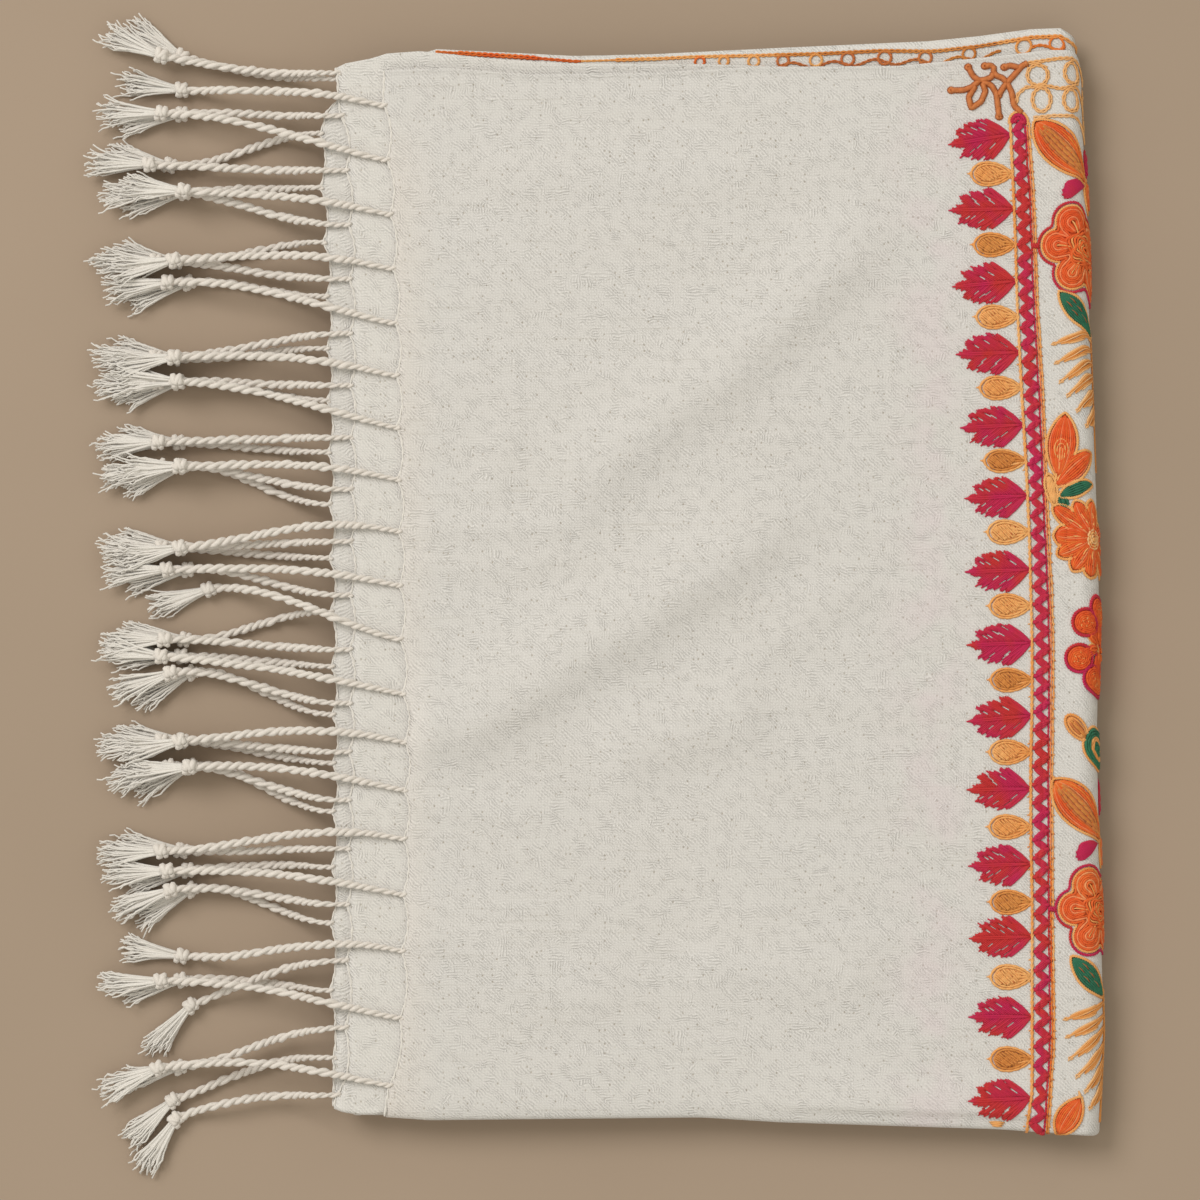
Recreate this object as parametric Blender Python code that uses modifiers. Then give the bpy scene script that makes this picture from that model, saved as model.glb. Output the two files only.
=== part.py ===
"""A fringed, embroidered wool stole, folded into a flat rectangle and lying on a surface.

The stole is folded in half across its length, in half along its length, and twice more across.
Its two ends lie uppermost on the left with their twisted, knotted fringe. The last fold is on the right.
X runs from the fringe to the last fold, Y from the long fold to the selvedges, Z up from the surface.
The origin is on the surface, under the middle of the folded cloth.
"""

import math

import bmesh
import bpy
from mathutils import Vector

MM = 0.001

# Heights of the layers above the surface, in millimetres.
TOP_Z = 14.7
TOP_THICK = 1.2
SECOND_Z = 13.2
SECOND_LOW_Z = 10.8
SECOND_THICK = 1.0
INNER_Z = 10.5
INNER_LOW_Z = 2.2
INNER_THICK = 1.0
CORE_Z = (1.5, 9.2)
CORE_LAYERS = 8

# The last fold, the lip of the long fold and the small fold underneath on the left.
LAST_FOLD_RADIUS = TOP_Z / 2
LIP_RADIUS = 1.6
LIP_DEPTH = 3.2
UNDER_FOLD_RADIUS = 3.3
UNDER_FOLD_X = -119.0
UNDER_FOLD_LIP = 2.2

# Plan of the folded cloth: each table has the place along a side, then the edge's place.
TOP_BACK = ((-110.6, 171.6), (-90, 172.3), (-62, 170.2), (-20, 170.8), (10, 172.6), (60, 173), (86, 175.6),
            (109, 178.2), (126, 178.2))
TOP_FRONT = ((-110.6, -174.2), (-96, -175.2), (-6, -174.3), (20, -175.9), (92, -178.2), (125, -180.5))
TOP_RIGHT = ((-180.5, 125.7), (-165, 126.4), (-145, 127.2), (-103, 126.1), (-46, 124.9), (-5, 125.8),
             (36, 124.7), (96, 122.4), (129, 121.8), (168, 119.8))
SECOND_BACK = ((-127, 172.6), (-123.8, 174.2), (-115, 175.9), (-110, 177.5), (-99, 178.3), (-73, 175.6),
               (-48, 174.2), (0, 173.9), (60, 172), (112, 175))
SECOND_FRONT_INSET = ((-129, 3.7), (-124, 2.5), (-110, 2.1))
INNER_BACK = ((-124, 170), (-99, 177.2), (-94, 178.9), (-65, 177.5), (-48, 176.6), (-22, 177.2), (18, 179.2),
              (69, 181.5), (86, 183.2), (103, 185.5), (112, 185.8))
INNER_FRONT_INSET = 2.2

# The fringe's knotting places on the three ends that show, back to front.
ROOT_PITCH = 17.97
FIRST_ROOT_Y = 160.0
ROOT_DRIFT = ((0, 0), (4, 0), (8, 3.2), (11, 3.6), (14, 9.6), (16, 8.6), (18, 0))
ROOTS = 19
TOP_END = ((-174.2, -110.6), (-163, -108.9), (-139, -105.3), (-100, -104.7), (-50, -104), (-16, -105.6),
           (37, -106.4), (88, -107.2), (123, -108.9), (160, -110.9), (171.6, -110.5))
SECOND_END = ((-171, -127.5), (-161, -125), (-146, -123.8), (-36, -122.5), (43, -122.1), (115, -122.6),
              (143, -123.8), (163, -125.7), (173, -126.4))
THIRD_END = ((-171, -127.5), (-158, -127.2), (-145, -129), (-53, -128), (53, -129.7), (102, -130.3),
             (137, -132.3), (158, -132), (163, -126.8), (173, -126.6))
SCALLOP = 2.2
SCALLOP_CUTS = 4
ROOT_SHIFTS = (0.0, -3.3, 8.9)
SECOND_EXTRA_ROOT = 170.8

# The cords and tassels.
SEAM = 0.3
STRIP_WIDE = 1.2
STRIP_TALL = 1.0
ROOT_HALF = 1.3
CORD_HALF = 1.35
KNOT_HALF = 2.1
FLOOR_GAP = 0.3
PILE_STEP = 4.1
PILE_SHIFT = (3.5, -3.0, 3.5)
PILE_LEAN = 6.0
FAN_STEP = 3.0
FAN_LENGTH = 20.5
FAN_RISE = 1.2
SETTLE_RUN = 18.0
KNOT_LONG = 1.6

# A cord's path: how far its two ends run straight on, as shares of its run, and where it is cut.
ROOT_RUN = 0.38
KNOT_RUN = 0.34
KNOT_BEND = 0.45
CORD_CUTS = (0.045, 0.13, 0.22, 0.31, 0.41, 0.52, 0.64, 0.77, 0.9)
ROOT_NARROW = 0.8

# A tassel's sections: the share of its length, its side half and its upright half.
FAN_CUTS = ((0.17, 1.5, 1.3), (0.55, 3.1, 1.2), (1.0, 3.6, 0.8))

# Height of each row's cords by their distance left of the origin.
TOP_DROP = ((-185, 9.6), (-152, 9.6), (-146, 10.4), (-140, 12.7), (-134, 14.9), (-100, 15.0))
SECOND_DROP = ((-185, 5.9), (-151, 5.9), (-146, 6.4), (-140, 9.2), (-134, 13.5), (-100, 13.6))
THIRD_DROP = ((-185, 1.9), (-150, 1.9), (-146, 2.3), (-140, 5.2), (-134, 10.2), (-129, 11.1), (-100, 11.3))
FIRST_RISE = (6.5, -0.5, 0.5)

# Each bunch of tassels: its knots as (x, y, angle of the tassel), then the knot that each cord of the
# top, second and third rows runs to, back to front.
BUNCHES = (
    (((-182, 177, 24), (-182, 166, 5), (-182, 158, -3)), "12", "02", "0"),
    (((-186, 141, 11), (-181, 132, -12)), "1", "01", "01"),
    (((-184, 109, 8), (-180, 102, -16)), "01", "0", "01"),
    (((-184, 77, 10), (-183, 69, -15)), "01", "01", "01"),
    (((-183, 49, 4), (-182, 41, -20)), "1", "01", "01"),
    (((-182, 14, 8), (-180, 6.8, -12), (-173, 0.2, -17)), "012", "01", "0"),
    (((-181, -16.4, 6), (-182, -22, 0), (-179, -27.5, -27)), "1", "02", "012"),
    (((-182, -50, 5), (-179, -58.5, -24)), "01", "01", "01"),
    (((-182, -86.5, 6), (-180, -93, -12), (-179, -99.5, -30)), "01", "02", "12"),
    (((-182, -121.5, 9), (-182, -129.5, -12), (-179, -138, -48)), "01", "2", "1"),
    (((-182, -158, -4), (-181, -168, -22), (-179, -175, -42)), "0", "02", "1"),
)


def clear_scene():
    for thing in list(bpy.data.objects):
        bpy.data.objects.remove(thing, do_unlink=True)


def collection(name):
    made = bpy.data.collections.new(name)
    bpy.context.scene.collection.children.link(made)
    return made


def material(name, colour, roughness):
    made = bpy.data.materials.new(name)
    made.use_nodes = True
    shader = made.node_tree.nodes["Principled BSDF"]
    shader.inputs["Base Color"].default_value = (*colour, 1.0)
    shader.inputs["Roughness"].default_value = roughness
    shader.inputs["Metallic"].default_value = 0.0
    return made


def smooth_step(share):
    share = min(max(share, 0.0), 1.0)
    return share * share * (3.0 - 2.0 * share)


def mix(low, high, share):
    return low + (high - low) * share


def along(table, place):
    """The table's value at a place, straight between its rows and level past its ends."""
    if place <= table[0][0]:
        return table[0][1]
    for (start, low), (end, high) in zip(table, table[1:]):
        if place <= end:
            return mix(low, high, (place - start) / (end - start))
    return table[-1][1]


def root_y(number):
    """Where a knotting place lies on the top end; fractions lie between two places."""
    return FIRST_ROOT_Y - ROOT_PITCH * number + along(ROOT_DRIFT, number)


def row_y(number, shift, back, front):
    """Where a row of an end starts on its left: from the back edge over the knotting places to the front."""
    if number < 0:
        return mix(back, root_y(0) + shift, number + 1)
    if number > ROOTS - 1:
        return mix(root_y(ROOTS - 1) + shift, front, number - ROOTS + 1)
    return root_y(number) + shift


def scallop(number):
    """How far the end draws back between two knotting places, each the sharp point of a scallop."""
    if not 0 < number < ROOTS - 1:
        return 0.0
    chord, share = divmod((number % 1.0) * (SCALLOP_CUTS + 1), 1)
    start, end = (SCALLOP * math.sin(math.pi * (chord + step) / (SCALLOP_CUTS + 1)) ** 0.7 for step in (0, 1))
    return mix(start, end, share)


def finish_mesh(name, bm, made_in, finish):
    """Makes an object in metres from a bmesh in millimetres."""
    bmesh.ops.scale(bm, vec=(MM, MM, MM), verts=bm.verts)
    mesh = bpy.data.meshes.new(name)
    bm.to_mesh(mesh)
    bm.free()
    mesh.shade_smooth()
    mesh.set_sharp_from_angle(angle=math.radians(50))
    mesh.materials.append(finish)
    made = bpy.data.objects.new(name, mesh)
    made_in.objects.link(made)
    return made


def wall(name, columns, rows, place, thickness, made_in, finish, cut_left=True):
    """A sheet of cloth: a grid placed by place(column, row), its left border cut finer, given its thickness."""
    bm = bmesh.new()
    bmesh.ops.create_grid(bm, x_segments=columns, y_segments=rows, size=0.5)
    bmesh.ops.translate(bm, vec=(0.5, 0.5, 0.0), verts=bm.verts)
    bmesh.ops.scale(bm, vec=(columns, rows, 1.0), verts=bm.verts)
    if cut_left:
        border = [edge for edge in bm.edges if all(vert.co.x < 0.5 for vert in edge.verts)]
        bmesh.ops.subdivide_edges(bm, edges=border, cuts=SCALLOP_CUTS)
    for vert in bm.verts:
        vert.co = place(vert.co.x, vert.co.y)
    bmesh.ops.reverse_faces(bm, faces=bm.faces)
    made = finish_mesh(name, bm, made_in, finish)
    shell = made.modifiers.new("thickness", "SOLIDIFY")
    shell.thickness = thickness * MM
    shell.offset = -1.0
    return made


def top_back(x):
    return along(TOP_BACK, x)


def top_front(x):
    return along(TOP_FRONT, x)


def second_back(x):
    return along(SECOND_BACK, x)


def second_front(x):
    return along(TOP_FRONT, x) + along(SECOND_FRONT_INSET, x)


def eased_row(end_y, x, left, back_edge, front_edge, inset, drop):
    """The y at x of a row that starts at end_y on the left and spreads with the back and front edges."""
    back_base = back_edge(left)
    front_base = front_edge(left) + inset
    share = (back_base - end_y) / (back_base - front_base)
    back_move = back_edge(x) - drop - back_base
    front_move = front_edge(x) + inset - front_base
    return end_y + mix(back_move, front_move, share)


# The broad, shallow folds that cross the top stretch slantwise: each one's ends, its half width and its rise.
WAVES = (
    ((-85, -75), (45, 55), 22, 0.9),
    ((-60, 60), (90, 110), 26, 0.6),
    ((-70, -130), (100, -60), 24, 0.7),
)
WAVE_END = 0.15
WAVE_FADE = 0.4
WAVES_LEFT = -100.0
WAVES_LEFT_FADE = 30.0
WAVES_SIDE = 170.0
WAVES_SIDE_FADE = 25.0


def soft_waves(x, y):
    """How far the broad folds raise the top stretch at a place."""
    height = 0.0
    for start, end, half_width, rise in WAVES:
        run = Vector(end) - Vector(start)
        offset = Vector((x, y)) - Vector(start)
        share = offset.dot(run) / run.length_squared
        aside = offset.cross(run) / run.length
        ends = smooth_step((0.5 + WAVE_END - abs(share - 0.5)) / WAVE_FADE)
        height += rise * ends * math.exp(-((aside / half_width) ** 2))
    left_fade = smooth_step((x - WAVES_LEFT) / WAVES_LEFT_FADE)
    return height * left_fade * smooth_step((WAVES_SIDE - abs(y)) / WAVES_SIDE_FADE)


# Columns of the top stretch: its flat top, the last fold, its underside and the small fold at the left.
TOP_FLAT_COLUMNS = 8
LAST_FOLD_COLUMNS = 7
UNDER_COLUMNS = 3
UNDER_FOLD_COLUMNS = 4
TOP_COLUMNS = TOP_FLAT_COLUMNS + LAST_FOLD_COLUMNS + UNDER_COLUMNS + UNDER_FOLD_COLUMNS
LIP_ROWS = 4
TOP_ROWS = ROOTS + 1 + LIP_ROWS
CORNER_DROP = 6.0
UNDER_DROP = 5.0
END_BAND = 8.0


def top_profile(column, left, right):
    """The top stretch's outer line seen from the front: x, z and the way out, as it wraps the others."""
    centre_x = right - LAST_FOLD_RADIUS
    if column <= TOP_FLAT_COLUMNS:
        if column <= 1:
            return left + END_BAND * column, TOP_Z, Vector((0, 1))
        share = (column - 1) / (TOP_FLAT_COLUMNS - 1)
        return mix(left + END_BAND, centre_x, share), TOP_Z, Vector((0, 1))
    column -= TOP_FLAT_COLUMNS
    if column <= LAST_FOLD_COLUMNS:
        turn = math.pi * column / LAST_FOLD_COLUMNS
        out = Vector((math.sin(turn), math.cos(turn)))
        return centre_x + LAST_FOLD_RADIUS * out.x, LAST_FOLD_RADIUS * (1 + out.y), out
    column -= LAST_FOLD_COLUMNS
    if column <= UNDER_COLUMNS:
        return mix(centre_x, UNDER_FOLD_X, column / UNDER_COLUMNS), 0.0, Vector((0, -1))
    turn = math.pi * (column - UNDER_COLUMNS) / UNDER_FOLD_COLUMNS
    out = Vector((-math.sin(turn), -math.cos(turn)))
    return UNDER_FOLD_X + UNDER_FOLD_RADIUS * out.x, UNDER_FOLD_RADIUS * (1 + out.y), out


def top_place(column, row):
    """A point of the top stretch's outer side."""
    fold_turn = min(max((column - TOP_FLAT_COLUMNS) / LAST_FOLD_COLUMNS, 0.0), 1.0)
    number = min(row - 1, ROOTS)
    guess_y = row_y(number, 0.0, TOP_BACK[0][1], TOP_FRONT[0][1] + LIP_RADIUS)
    left = along(TOP_END, guess_y) + scallop(number)
    x, z, out = top_profile(column, left, along(TOP_RIGHT, guess_y))
    front = top_front(x)
    drop = CORNER_DROP * math.sin(math.pi * fold_turn) + UNDER_DROP * fold_turn
    y = eased_row(guess_y, x, left, top_back, top_front, LIP_RADIUS, drop)
    if column < TOP_FLAT_COLUMNS:
        z += soft_waves(x, y)
    lip_row = row - ROOTS - 1
    if lip_row > 0:
        if lip_row < LIP_ROWS:
            turn = 0.5 * math.pi * lip_row / (LIP_ROWS - 1)
            sink = LIP_RADIUS * (1 - math.cos(turn))
            y = front + LIP_RADIUS * (1 - math.sin(turn))
        else:
            at_under_fold = column >= TOP_COLUMNS - UNDER_FOLD_COLUMNS
            sink = UNDER_FOLD_LIP if at_under_fold else LIP_DEPTH
            y = front
        x -= out.x * sink
        z -= out.y * sink
    return Vector((x, y, z))


def make_top_stretch(made_in, finish):
    wall("top_stretch", TOP_COLUMNS, TOP_ROWS, top_place, TOP_THICK, made_in, finish)


SECOND_COLUMNS = 5
SECOND_FOLD_ROWS = 4
SECOND_ROWS = 2 * (ROOTS + 1) + SECOND_FOLD_ROWS
SECOND_RIGHT = 111.0
LOWER_BACK_INSET = 2.5


def second_place(column, row):
    """A point of the second stretch's outer side: its upper half, the long fold and its lower half."""
    radius = 0.5 * (SECOND_Z - SECOND_LOW_Z)
    upper = row <= ROOTS + 1
    lower = row >= ROOTS + 1 + SECOND_FOLD_ROWS
    number = row - 1 if upper else SECOND_ROWS - row - 1
    shift = ROOT_SHIFTS[1 if upper else 2]
    if not (upper or lower):
        number = ROOTS
    end_y = row_y(number, shift, SECOND_BACK[0][1], second_front(SECOND_BACK[0][0]) + radius)
    left = along(SECOND_END if upper else THIRD_END, end_y) + scallop(number)
    x = mix(left, SECOND_RIGHT, column / SECOND_COLUMNS)
    front = second_front(x) + radius
    if upper or lower:
        drop = 0.0 if upper else LOWER_BACK_INSET * column / SECOND_COLUMNS
        y = eased_row(end_y, x, left, second_back, second_front, radius, drop)
        return Vector((x, y, SECOND_Z if upper else SECOND_LOW_Z))
    turn = math.pi * (row - ROOTS - 1) / SECOND_FOLD_ROWS
    return Vector((x, front - radius * math.sin(turn), SECOND_LOW_Z + radius * (1 + math.cos(turn))))


def make_second_stretch(made_in, finish):
    wall("second_stretch", SECOND_COLUMNS, SECOND_ROWS, second_place, SECOND_THICK, made_in, finish)


INNER_FLAT_COLUMNS = 8
INNER_FOLD_COLUMNS = 6
INNER_ROWS = 10
INNER_LEFT = -124.0
INNER_FOLD_DEEP = 5.3
INNER_FOLD_SIDE = 1.9
INNER_CORNER_DROP = 9.0
INNER_SIDES = (185.0, -178.0)


def inner_place(column, row):
    """A point of the embroidered stretch's outer side, which shows past the top stretch's selvedge."""
    share = row / INNER_ROWS
    guess_y = mix(*INNER_SIDES, share)
    right = along(TOP_RIGHT, guess_y) - INNER_FOLD_SIDE
    centre_x = right - INNER_FOLD_DEEP
    middle_z = 0.5 * (INNER_Z + INNER_LOW_Z)
    drop = 0.0
    if column <= INNER_FLAT_COLUMNS:
        x = mix(INNER_LEFT, centre_x, column / INNER_FLAT_COLUMNS)
        z = INNER_Z
    else:
        turn = math.pi * (column - INNER_FLAT_COLUMNS) / INNER_FOLD_COLUMNS
        x = centre_x + INNER_FOLD_DEEP * math.sin(turn)
        z = middle_z + (INNER_Z - middle_z) * math.cos(turn)
        drop = INNER_CORNER_DROP * turn / math.pi
    back = along(INNER_BACK, x) - drop
    front = along(TOP_FRONT, x) + INNER_FRONT_INSET
    return Vector((x, mix(back, front, share), z))


def make_embroidered_stretch(made_in, finish):
    wall("embroidered_stretch", INNER_FLAT_COLUMNS + INNER_FOLD_COLUMNS, INNER_ROWS, inner_place, INNER_THICK,
         made_in, finish, cut_left=False)


# The hidden layers: their plan's corners, and how far their sides lie inside the cloth that wraps them.
CORE_SIZE = (245.0, 350.0)
CORE_CORNER = 10.0
CORE_CORNER_POINTS = 4
CORE_SIDE_POINTS = 7
CORE_ENDS = (-175.0, 172.0)
CORE_LEFT_UPPER = -126.0
CORE_LEFT_LOWER = UNDER_FOLD_X + 2.0
UNDER_FOLD_TOP = 2 * UNDER_FOLD_RADIUS + SEAM
INNER_LOW_TOP = INNER_LOW_Z + INNER_THICK + 2 * SEAM
CORE_RIGHT_UPPER = INNER_FOLD_SIDE + INNER_FOLD_DEEP - 1.0
CORE_RIGHT_LOWER = INNER_FOLD_SIDE + INNER_FOLD_DEEP + 2.0
CORE_RIGHT_ARC = (3.2, CORE_Z[1] + 0.4)
CORE_RIGHT_BULGE = 3.0
CORE_LEFT_BULGE = 2.0
CORE_BULGE = 1.3
CORE_FRONT_INSET = 0.5
CORE_BACK_INSET = 4.5
SELVEDGE_STEPS = (0.0, 0.9, 1.8, 0.45, 1.35)
LAYER_GROOVE = 0.12
GROOVE_DEPTH = 0.35
CORE_EDGE = 0.5


def bulge(height, low, high, depth):
    """How far a folded layer's rounded edge draws in, at a height between its two faces."""
    middle = 0.5 * (low + high)
    share = min(abs(height - middle) / (0.5 * (high - low)), 1.0)
    return depth * (1.0 - math.sqrt(1.0 - share * share))


def core_sides(z, layer):
    """The core's left side, then its right, front and back insets, at a height."""
    if z < UNDER_FOLD_TOP:
        left = CORE_LEFT_LOWER + bulge(z, 0.0, UNDER_FOLD_TOP, CORE_LEFT_BULGE)
    else:
        left = CORE_LEFT_UPPER + bulge(z, UNDER_FOLD_TOP, CORE_Z[1], CORE_BULGE)
    if z < INNER_LOW_TOP:
        right = CORE_RIGHT_LOWER
    else:
        right = CORE_RIGHT_UPPER + bulge(z, *CORE_RIGHT_ARC, CORE_RIGHT_BULGE)
    if z < LIP_DEPTH + SEAM:
        front = TOP_THICK + 3 * SEAM
    elif z < UNDER_FOLD_TOP:
        front = CORE_FRONT_INSET + bulge(z, LIP_DEPTH + SEAM, UNDER_FOLD_TOP, CORE_BULGE)
    else:
        front = CORE_FRONT_INSET + bulge(z, UNDER_FOLD_TOP, CORE_Z[1], CORE_BULGE)
    back = CORE_BACK_INSET + SELVEDGE_STEPS[layer % len(SELVEDGE_STEPS)]
    return left, right, front, back


def core_outline():
    """Shares of the way across and along, once round the core: four rounded corners and four straight sides."""
    round_x, round_y = (CORE_CORNER / size for size in CORE_SIZE)
    corners = []
    for number, (across, up) in enumerate(((1, 1), (0, 1), (0, 0), (1, 0))):
        centre = Vector((abs(across - round_x), abs(up - round_y)))
        arc = []
        for step in range(CORE_CORNER_POINTS + 1):
            turn = 0.5 * math.pi * (number + step / CORE_CORNER_POINTS)
            arc.append(centre + Vector((math.cos(turn) * round_x, math.sin(turn) * round_y)))
        corners.append(arc)
    points = []
    for number, arc in enumerate(corners):
        points += arc
        target = corners[(number + 1) % 4][0]
        points += [arc[-1].lerp(target, step / CORE_SIDE_POINTS) for step in range(1, CORE_SIDE_POINTS)]
    return points


def core_levels():
    """The core's cuts, from below: height, layer and how far each draws in, with a groove between layers."""
    thick = (CORE_Z[1] - CORE_Z[0]) / CORE_LAYERS
    groove = LAYER_GROOVE * thick
    levels = []
    for layer in range(CORE_LAYERS):
        base = CORE_Z[0] + layer * thick
        lowest = layer == 0
        highest = layer == CORE_LAYERS - 1
        levels.append((base if lowest else base + groove, layer, CORE_EDGE if lowest else GROOVE_DEPTH))
        levels.append((base + 0.5 * thick, layer, 0.0))
        top = base + thick - (0.0 if highest else groove)
        levels.append((top, layer, CORE_EDGE if highest else GROOVE_DEPTH))
    return levels


def make_hidden_layers(made_in, finish):
    """The layers that no side shows whole, as one rounded solid with its layers showing at the edges."""
    bm = bmesh.new()
    outline = core_outline()
    loops = []
    for z, layer, draw in core_levels():
        left, right, front, back = core_sides(z, layer)
        ring = []
        for across, up in outline:
            rough_y = mix(*CORE_ENDS, up)
            x = mix(left + draw, along(TOP_RIGHT, rough_y) - right - draw, across)
            y = mix(along(TOP_FRONT, x) + front + draw, along(INNER_BACK, x) - back - draw, up)
            ring.append(bm.verts.new((x, y, z)))
        loops.append([bm.edges.new((vert, ring[i - 1])) for i, vert in enumerate(ring)])
    for lower, upper in zip(loops, loops[1:]):
        bmesh.ops.bridge_loops(bm, edges=lower + upper)
    bmesh.ops.contextual_create(bm, geom=loops[0])
    bmesh.ops.contextual_create(bm, geom=loops[-1])
    bmesh.ops.recalc_face_normals(bm, faces=bm.faces)
    finish_mesh("hidden_layers", bm, made_in, finish)


def row_facts(row):
    """A fringe row's name, end line, strip height, table of cord heights and knotting places."""
    places = [root_y(number) + ROOT_SHIFTS[row] for number in range(ROOTS)]
    if row == 1:
        places.insert(0, SECOND_EXTRA_ROOT)
    name = ("top_fringe", "second_fringe", "third_fringe")[row]
    ends = (TOP_END, SECOND_END, THIRD_END)[row]
    middle = (TOP_Z - 0.5 * TOP_THICK, SECOND_Z - 0.5 * SECOND_THICK, SECOND_LOW_Z + 0.5 * SECOND_THICK)[row]
    drop = (TOP_DROP, SECOND_DROP, THIRD_DROP)[row]
    return name, ends, middle, drop, places


def end_x(row, y):
    """Where a row's scalloped end lies at y."""
    ends = (TOP_END, SECOND_END, THIRD_END)[row]
    shift = ROOT_SHIFTS[row]
    low = max((number for number in range(ROOTS) if root_y(number) + shift >= y), default=-1)
    if low < 0 or low >= ROOTS - 1:
        return along(ends, y)
    start = root_y(low) + shift
    end = root_y(low + 1) + shift
    return along(ends, y) + scallop(low + (start - y) / (start - end))


def knots_by_row():
    """For each row, its cords' knots, back to front, with how many tassels already lie under each."""
    found = ([], [], [])
    for bunch in BUNCHES:
        knots, *runs = bunch
        piled = [0] * len(knots)
        for row in (2, 1, 0):
            for letter in runs[row]:
                place = int(letter)
                x, y, angle = knots[place]
                level = piled[place]
                piled[place] += 1
                side = 1 if place == 0 else -1
                lean = angle + PILE_LEAN * level * side
                found[row].append((x + PILE_SHIFT[level], y, lean, level))
    return found


def cord_sections(root_x, root_place, rise, drop, knot):
    """Sections along a cord, its knot and its tassel: middle, side half and upright half of each."""
    knot_x, knot_y, lean, level = knot
    lean = math.radians(lean)
    run = root_x - knot_x
    first = Vector((root_x, root_place))
    last = Vector((knot_x, knot_y))
    bend = KNOT_BEND * lean
    handles = (first, first + Vector((-ROOT_RUN * run, rise)),
               last + Vector((math.cos(bend), -math.sin(bend))) * KNOT_RUN * run, last)
    knot_z = FLOOR_GAP + KNOT_HALF + PILE_STEP * level
    sections = []
    for share in CORD_CUTS:
        weights = ((1 - share) ** 3, 3 * share * (1 - share) ** 2, 3 * share * share * (1 - share), share ** 3)
        spot = sum((handle * weight for handle, weight in zip(handles, weights)), Vector((0, 0)))
        settle = smooth_step((knot_x + SETTLE_RUN - spot.x) / SETTLE_RUN)
        height = mix(along(drop, spot.x), knot_z, settle)
        half = CORD_HALF * (ROOT_NARROW if share == CORD_CUTS[0] else 1.0)
        sections.append((Vector((spot.x, spot.y, height)), half, half))
    ahead = Vector((-math.cos(lean), math.sin(lean), 0.0))
    middle = Vector((knot_x, knot_y, knot_z))
    sections.append((middle - ahead * KNOT_LONG, KNOT_HALF, KNOT_HALF))
    sections.append((middle + ahead * KNOT_LONG, KNOT_HALF, KNOT_HALF))
    fan_z = FLOOR_GAP + FAN_RISE + FAN_STEP * level
    for share, wide, tall in FAN_CUTS:
        spot = middle + ahead * FAN_LENGTH * share
        spot.z = mix(knot_z, fan_z, smooth_step(1.25 * (share - 0.2)))
        sections.append((spot, wide, tall))
    return sections


def grow(bm, face, sections):
    """Draws one face out along sections, keeping its corners in their order."""
    centre = face.calc_center_median()
    side = Vector((0, 1, 0))
    for number, (spot, wide, tall) in enumerate(sections):
        before = sections[number - 1][0] if number else centre
        nearby = sections[min(number + 1, len(sections) - 1)][0] - before
        corners = bmesh.ops.extrude_discrete_faces(bm, faces=[face])["faces"][0]
        new_side = Vector((nearby.y, -nearby.x, 0)).normalized()
        for vert in corners.verts:
            offset = vert.co - centre
            across = 1 if offset.dot(side) > 0 else -1
            up = 1 if offset.z > 0 else -1
            vert.co = spot + new_side * across * wide + Vector((0, 0, up * tall))
        face = corners
        centre = spot
        side = new_side


def make_fringe(row, knots, made_in, finish):
    """One row of twisted cords with their knots and tassels, rooted in a narrow strip along the cloth's end."""
    name, _, middle, drop, places = row_facts(row)
    stations = []
    for place in places:
        root_edge = end_x(row, place)
        stations += [(place + ROOT_HALF, root_edge), (place - ROOT_HALF, root_edge)]
    for first, second in zip(places, places[1:]):
        for cut in range(1, SCALLOP_CUTS + 1):
            station = mix(first, second, cut / (SCALLOP_CUTS + 1))
            stations.append((station, end_x(row, station)))
    stations.sort(reverse=True)
    bm = bmesh.new()
    half = 0.5 * STRIP_TALL
    corners = ((-SEAM, half), (-SEAM, -half), (-SEAM - STRIP_WIDE, -half), (-SEAM - STRIP_WIDE, half))
    start, edge = stations[0]
    face = bm.faces.new([bm.verts.new((edge + x, start, middle + z)) for x, z in corners])
    for station, edge in stations[1:]:
        face = bmesh.ops.extrude_discrete_faces(bm, faces=[face])["faces"][0]
        lowest = min(vert.co.x for vert in face.verts)
        for vert in face.verts:
            outer = vert.co.x < lowest + 0.5 * STRIP_WIDE
            vert.co.x = edge - SEAM - (STRIP_WIDE if outer else 0.0)
            vert.co.y = station
    bmesh.ops.holes_fill(bm, edges=[edge for edge in bm.edges if edge.is_boundary], sides=4)
    bmesh.ops.recalc_face_normals(bm, faces=bm.faces)
    roots = []
    for place, knot in zip(places, knots):
        for side in bm.faces:
            spot = side.calc_center_median()
            if side.normal.x < -0.5 and abs(spot.y - place) < 0.1:
                roots.append((side, place, knot, spot))
    for side, place, knot, spot in roots:
        grow(bm, side, cord_sections(spot.x, place, FIRST_RISE[row], drop, knot))
    bmesh.ops.recalc_face_normals(bm, faces=bm.faces)
    finish_mesh(name, bm, made_in, finish)


def main():
    clear_scene()
    parts = collection("embroidered_stole")
    wool = material("ivory_wool", (0.80, 0.75, 0.66), 0.9)
    cord = material("ivory_cord", (0.83, 0.78, 0.69), 0.85)
    make_top_stretch(parts, wool)
    make_second_stretch(parts, wool)
    make_embroidered_stretch(parts, wool)
    make_hidden_layers(parts, wool)
    for row, knots in enumerate(knots_by_row()):
        make_fringe(row, knots, parts, cord)


main()
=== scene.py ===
"""The folded ivory stole: woven wool, twisted and knotted fringe, and stitched flowers.

X runs from the fringe to the last fold, Y from the long fold to the selvedges and Z up from the
surface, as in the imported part. Sizes are in millimetres until a mesh is finished.
"""

import math
import random

import bmesh
import bpy
from mathutils import Matrix, Vector, noise


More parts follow.
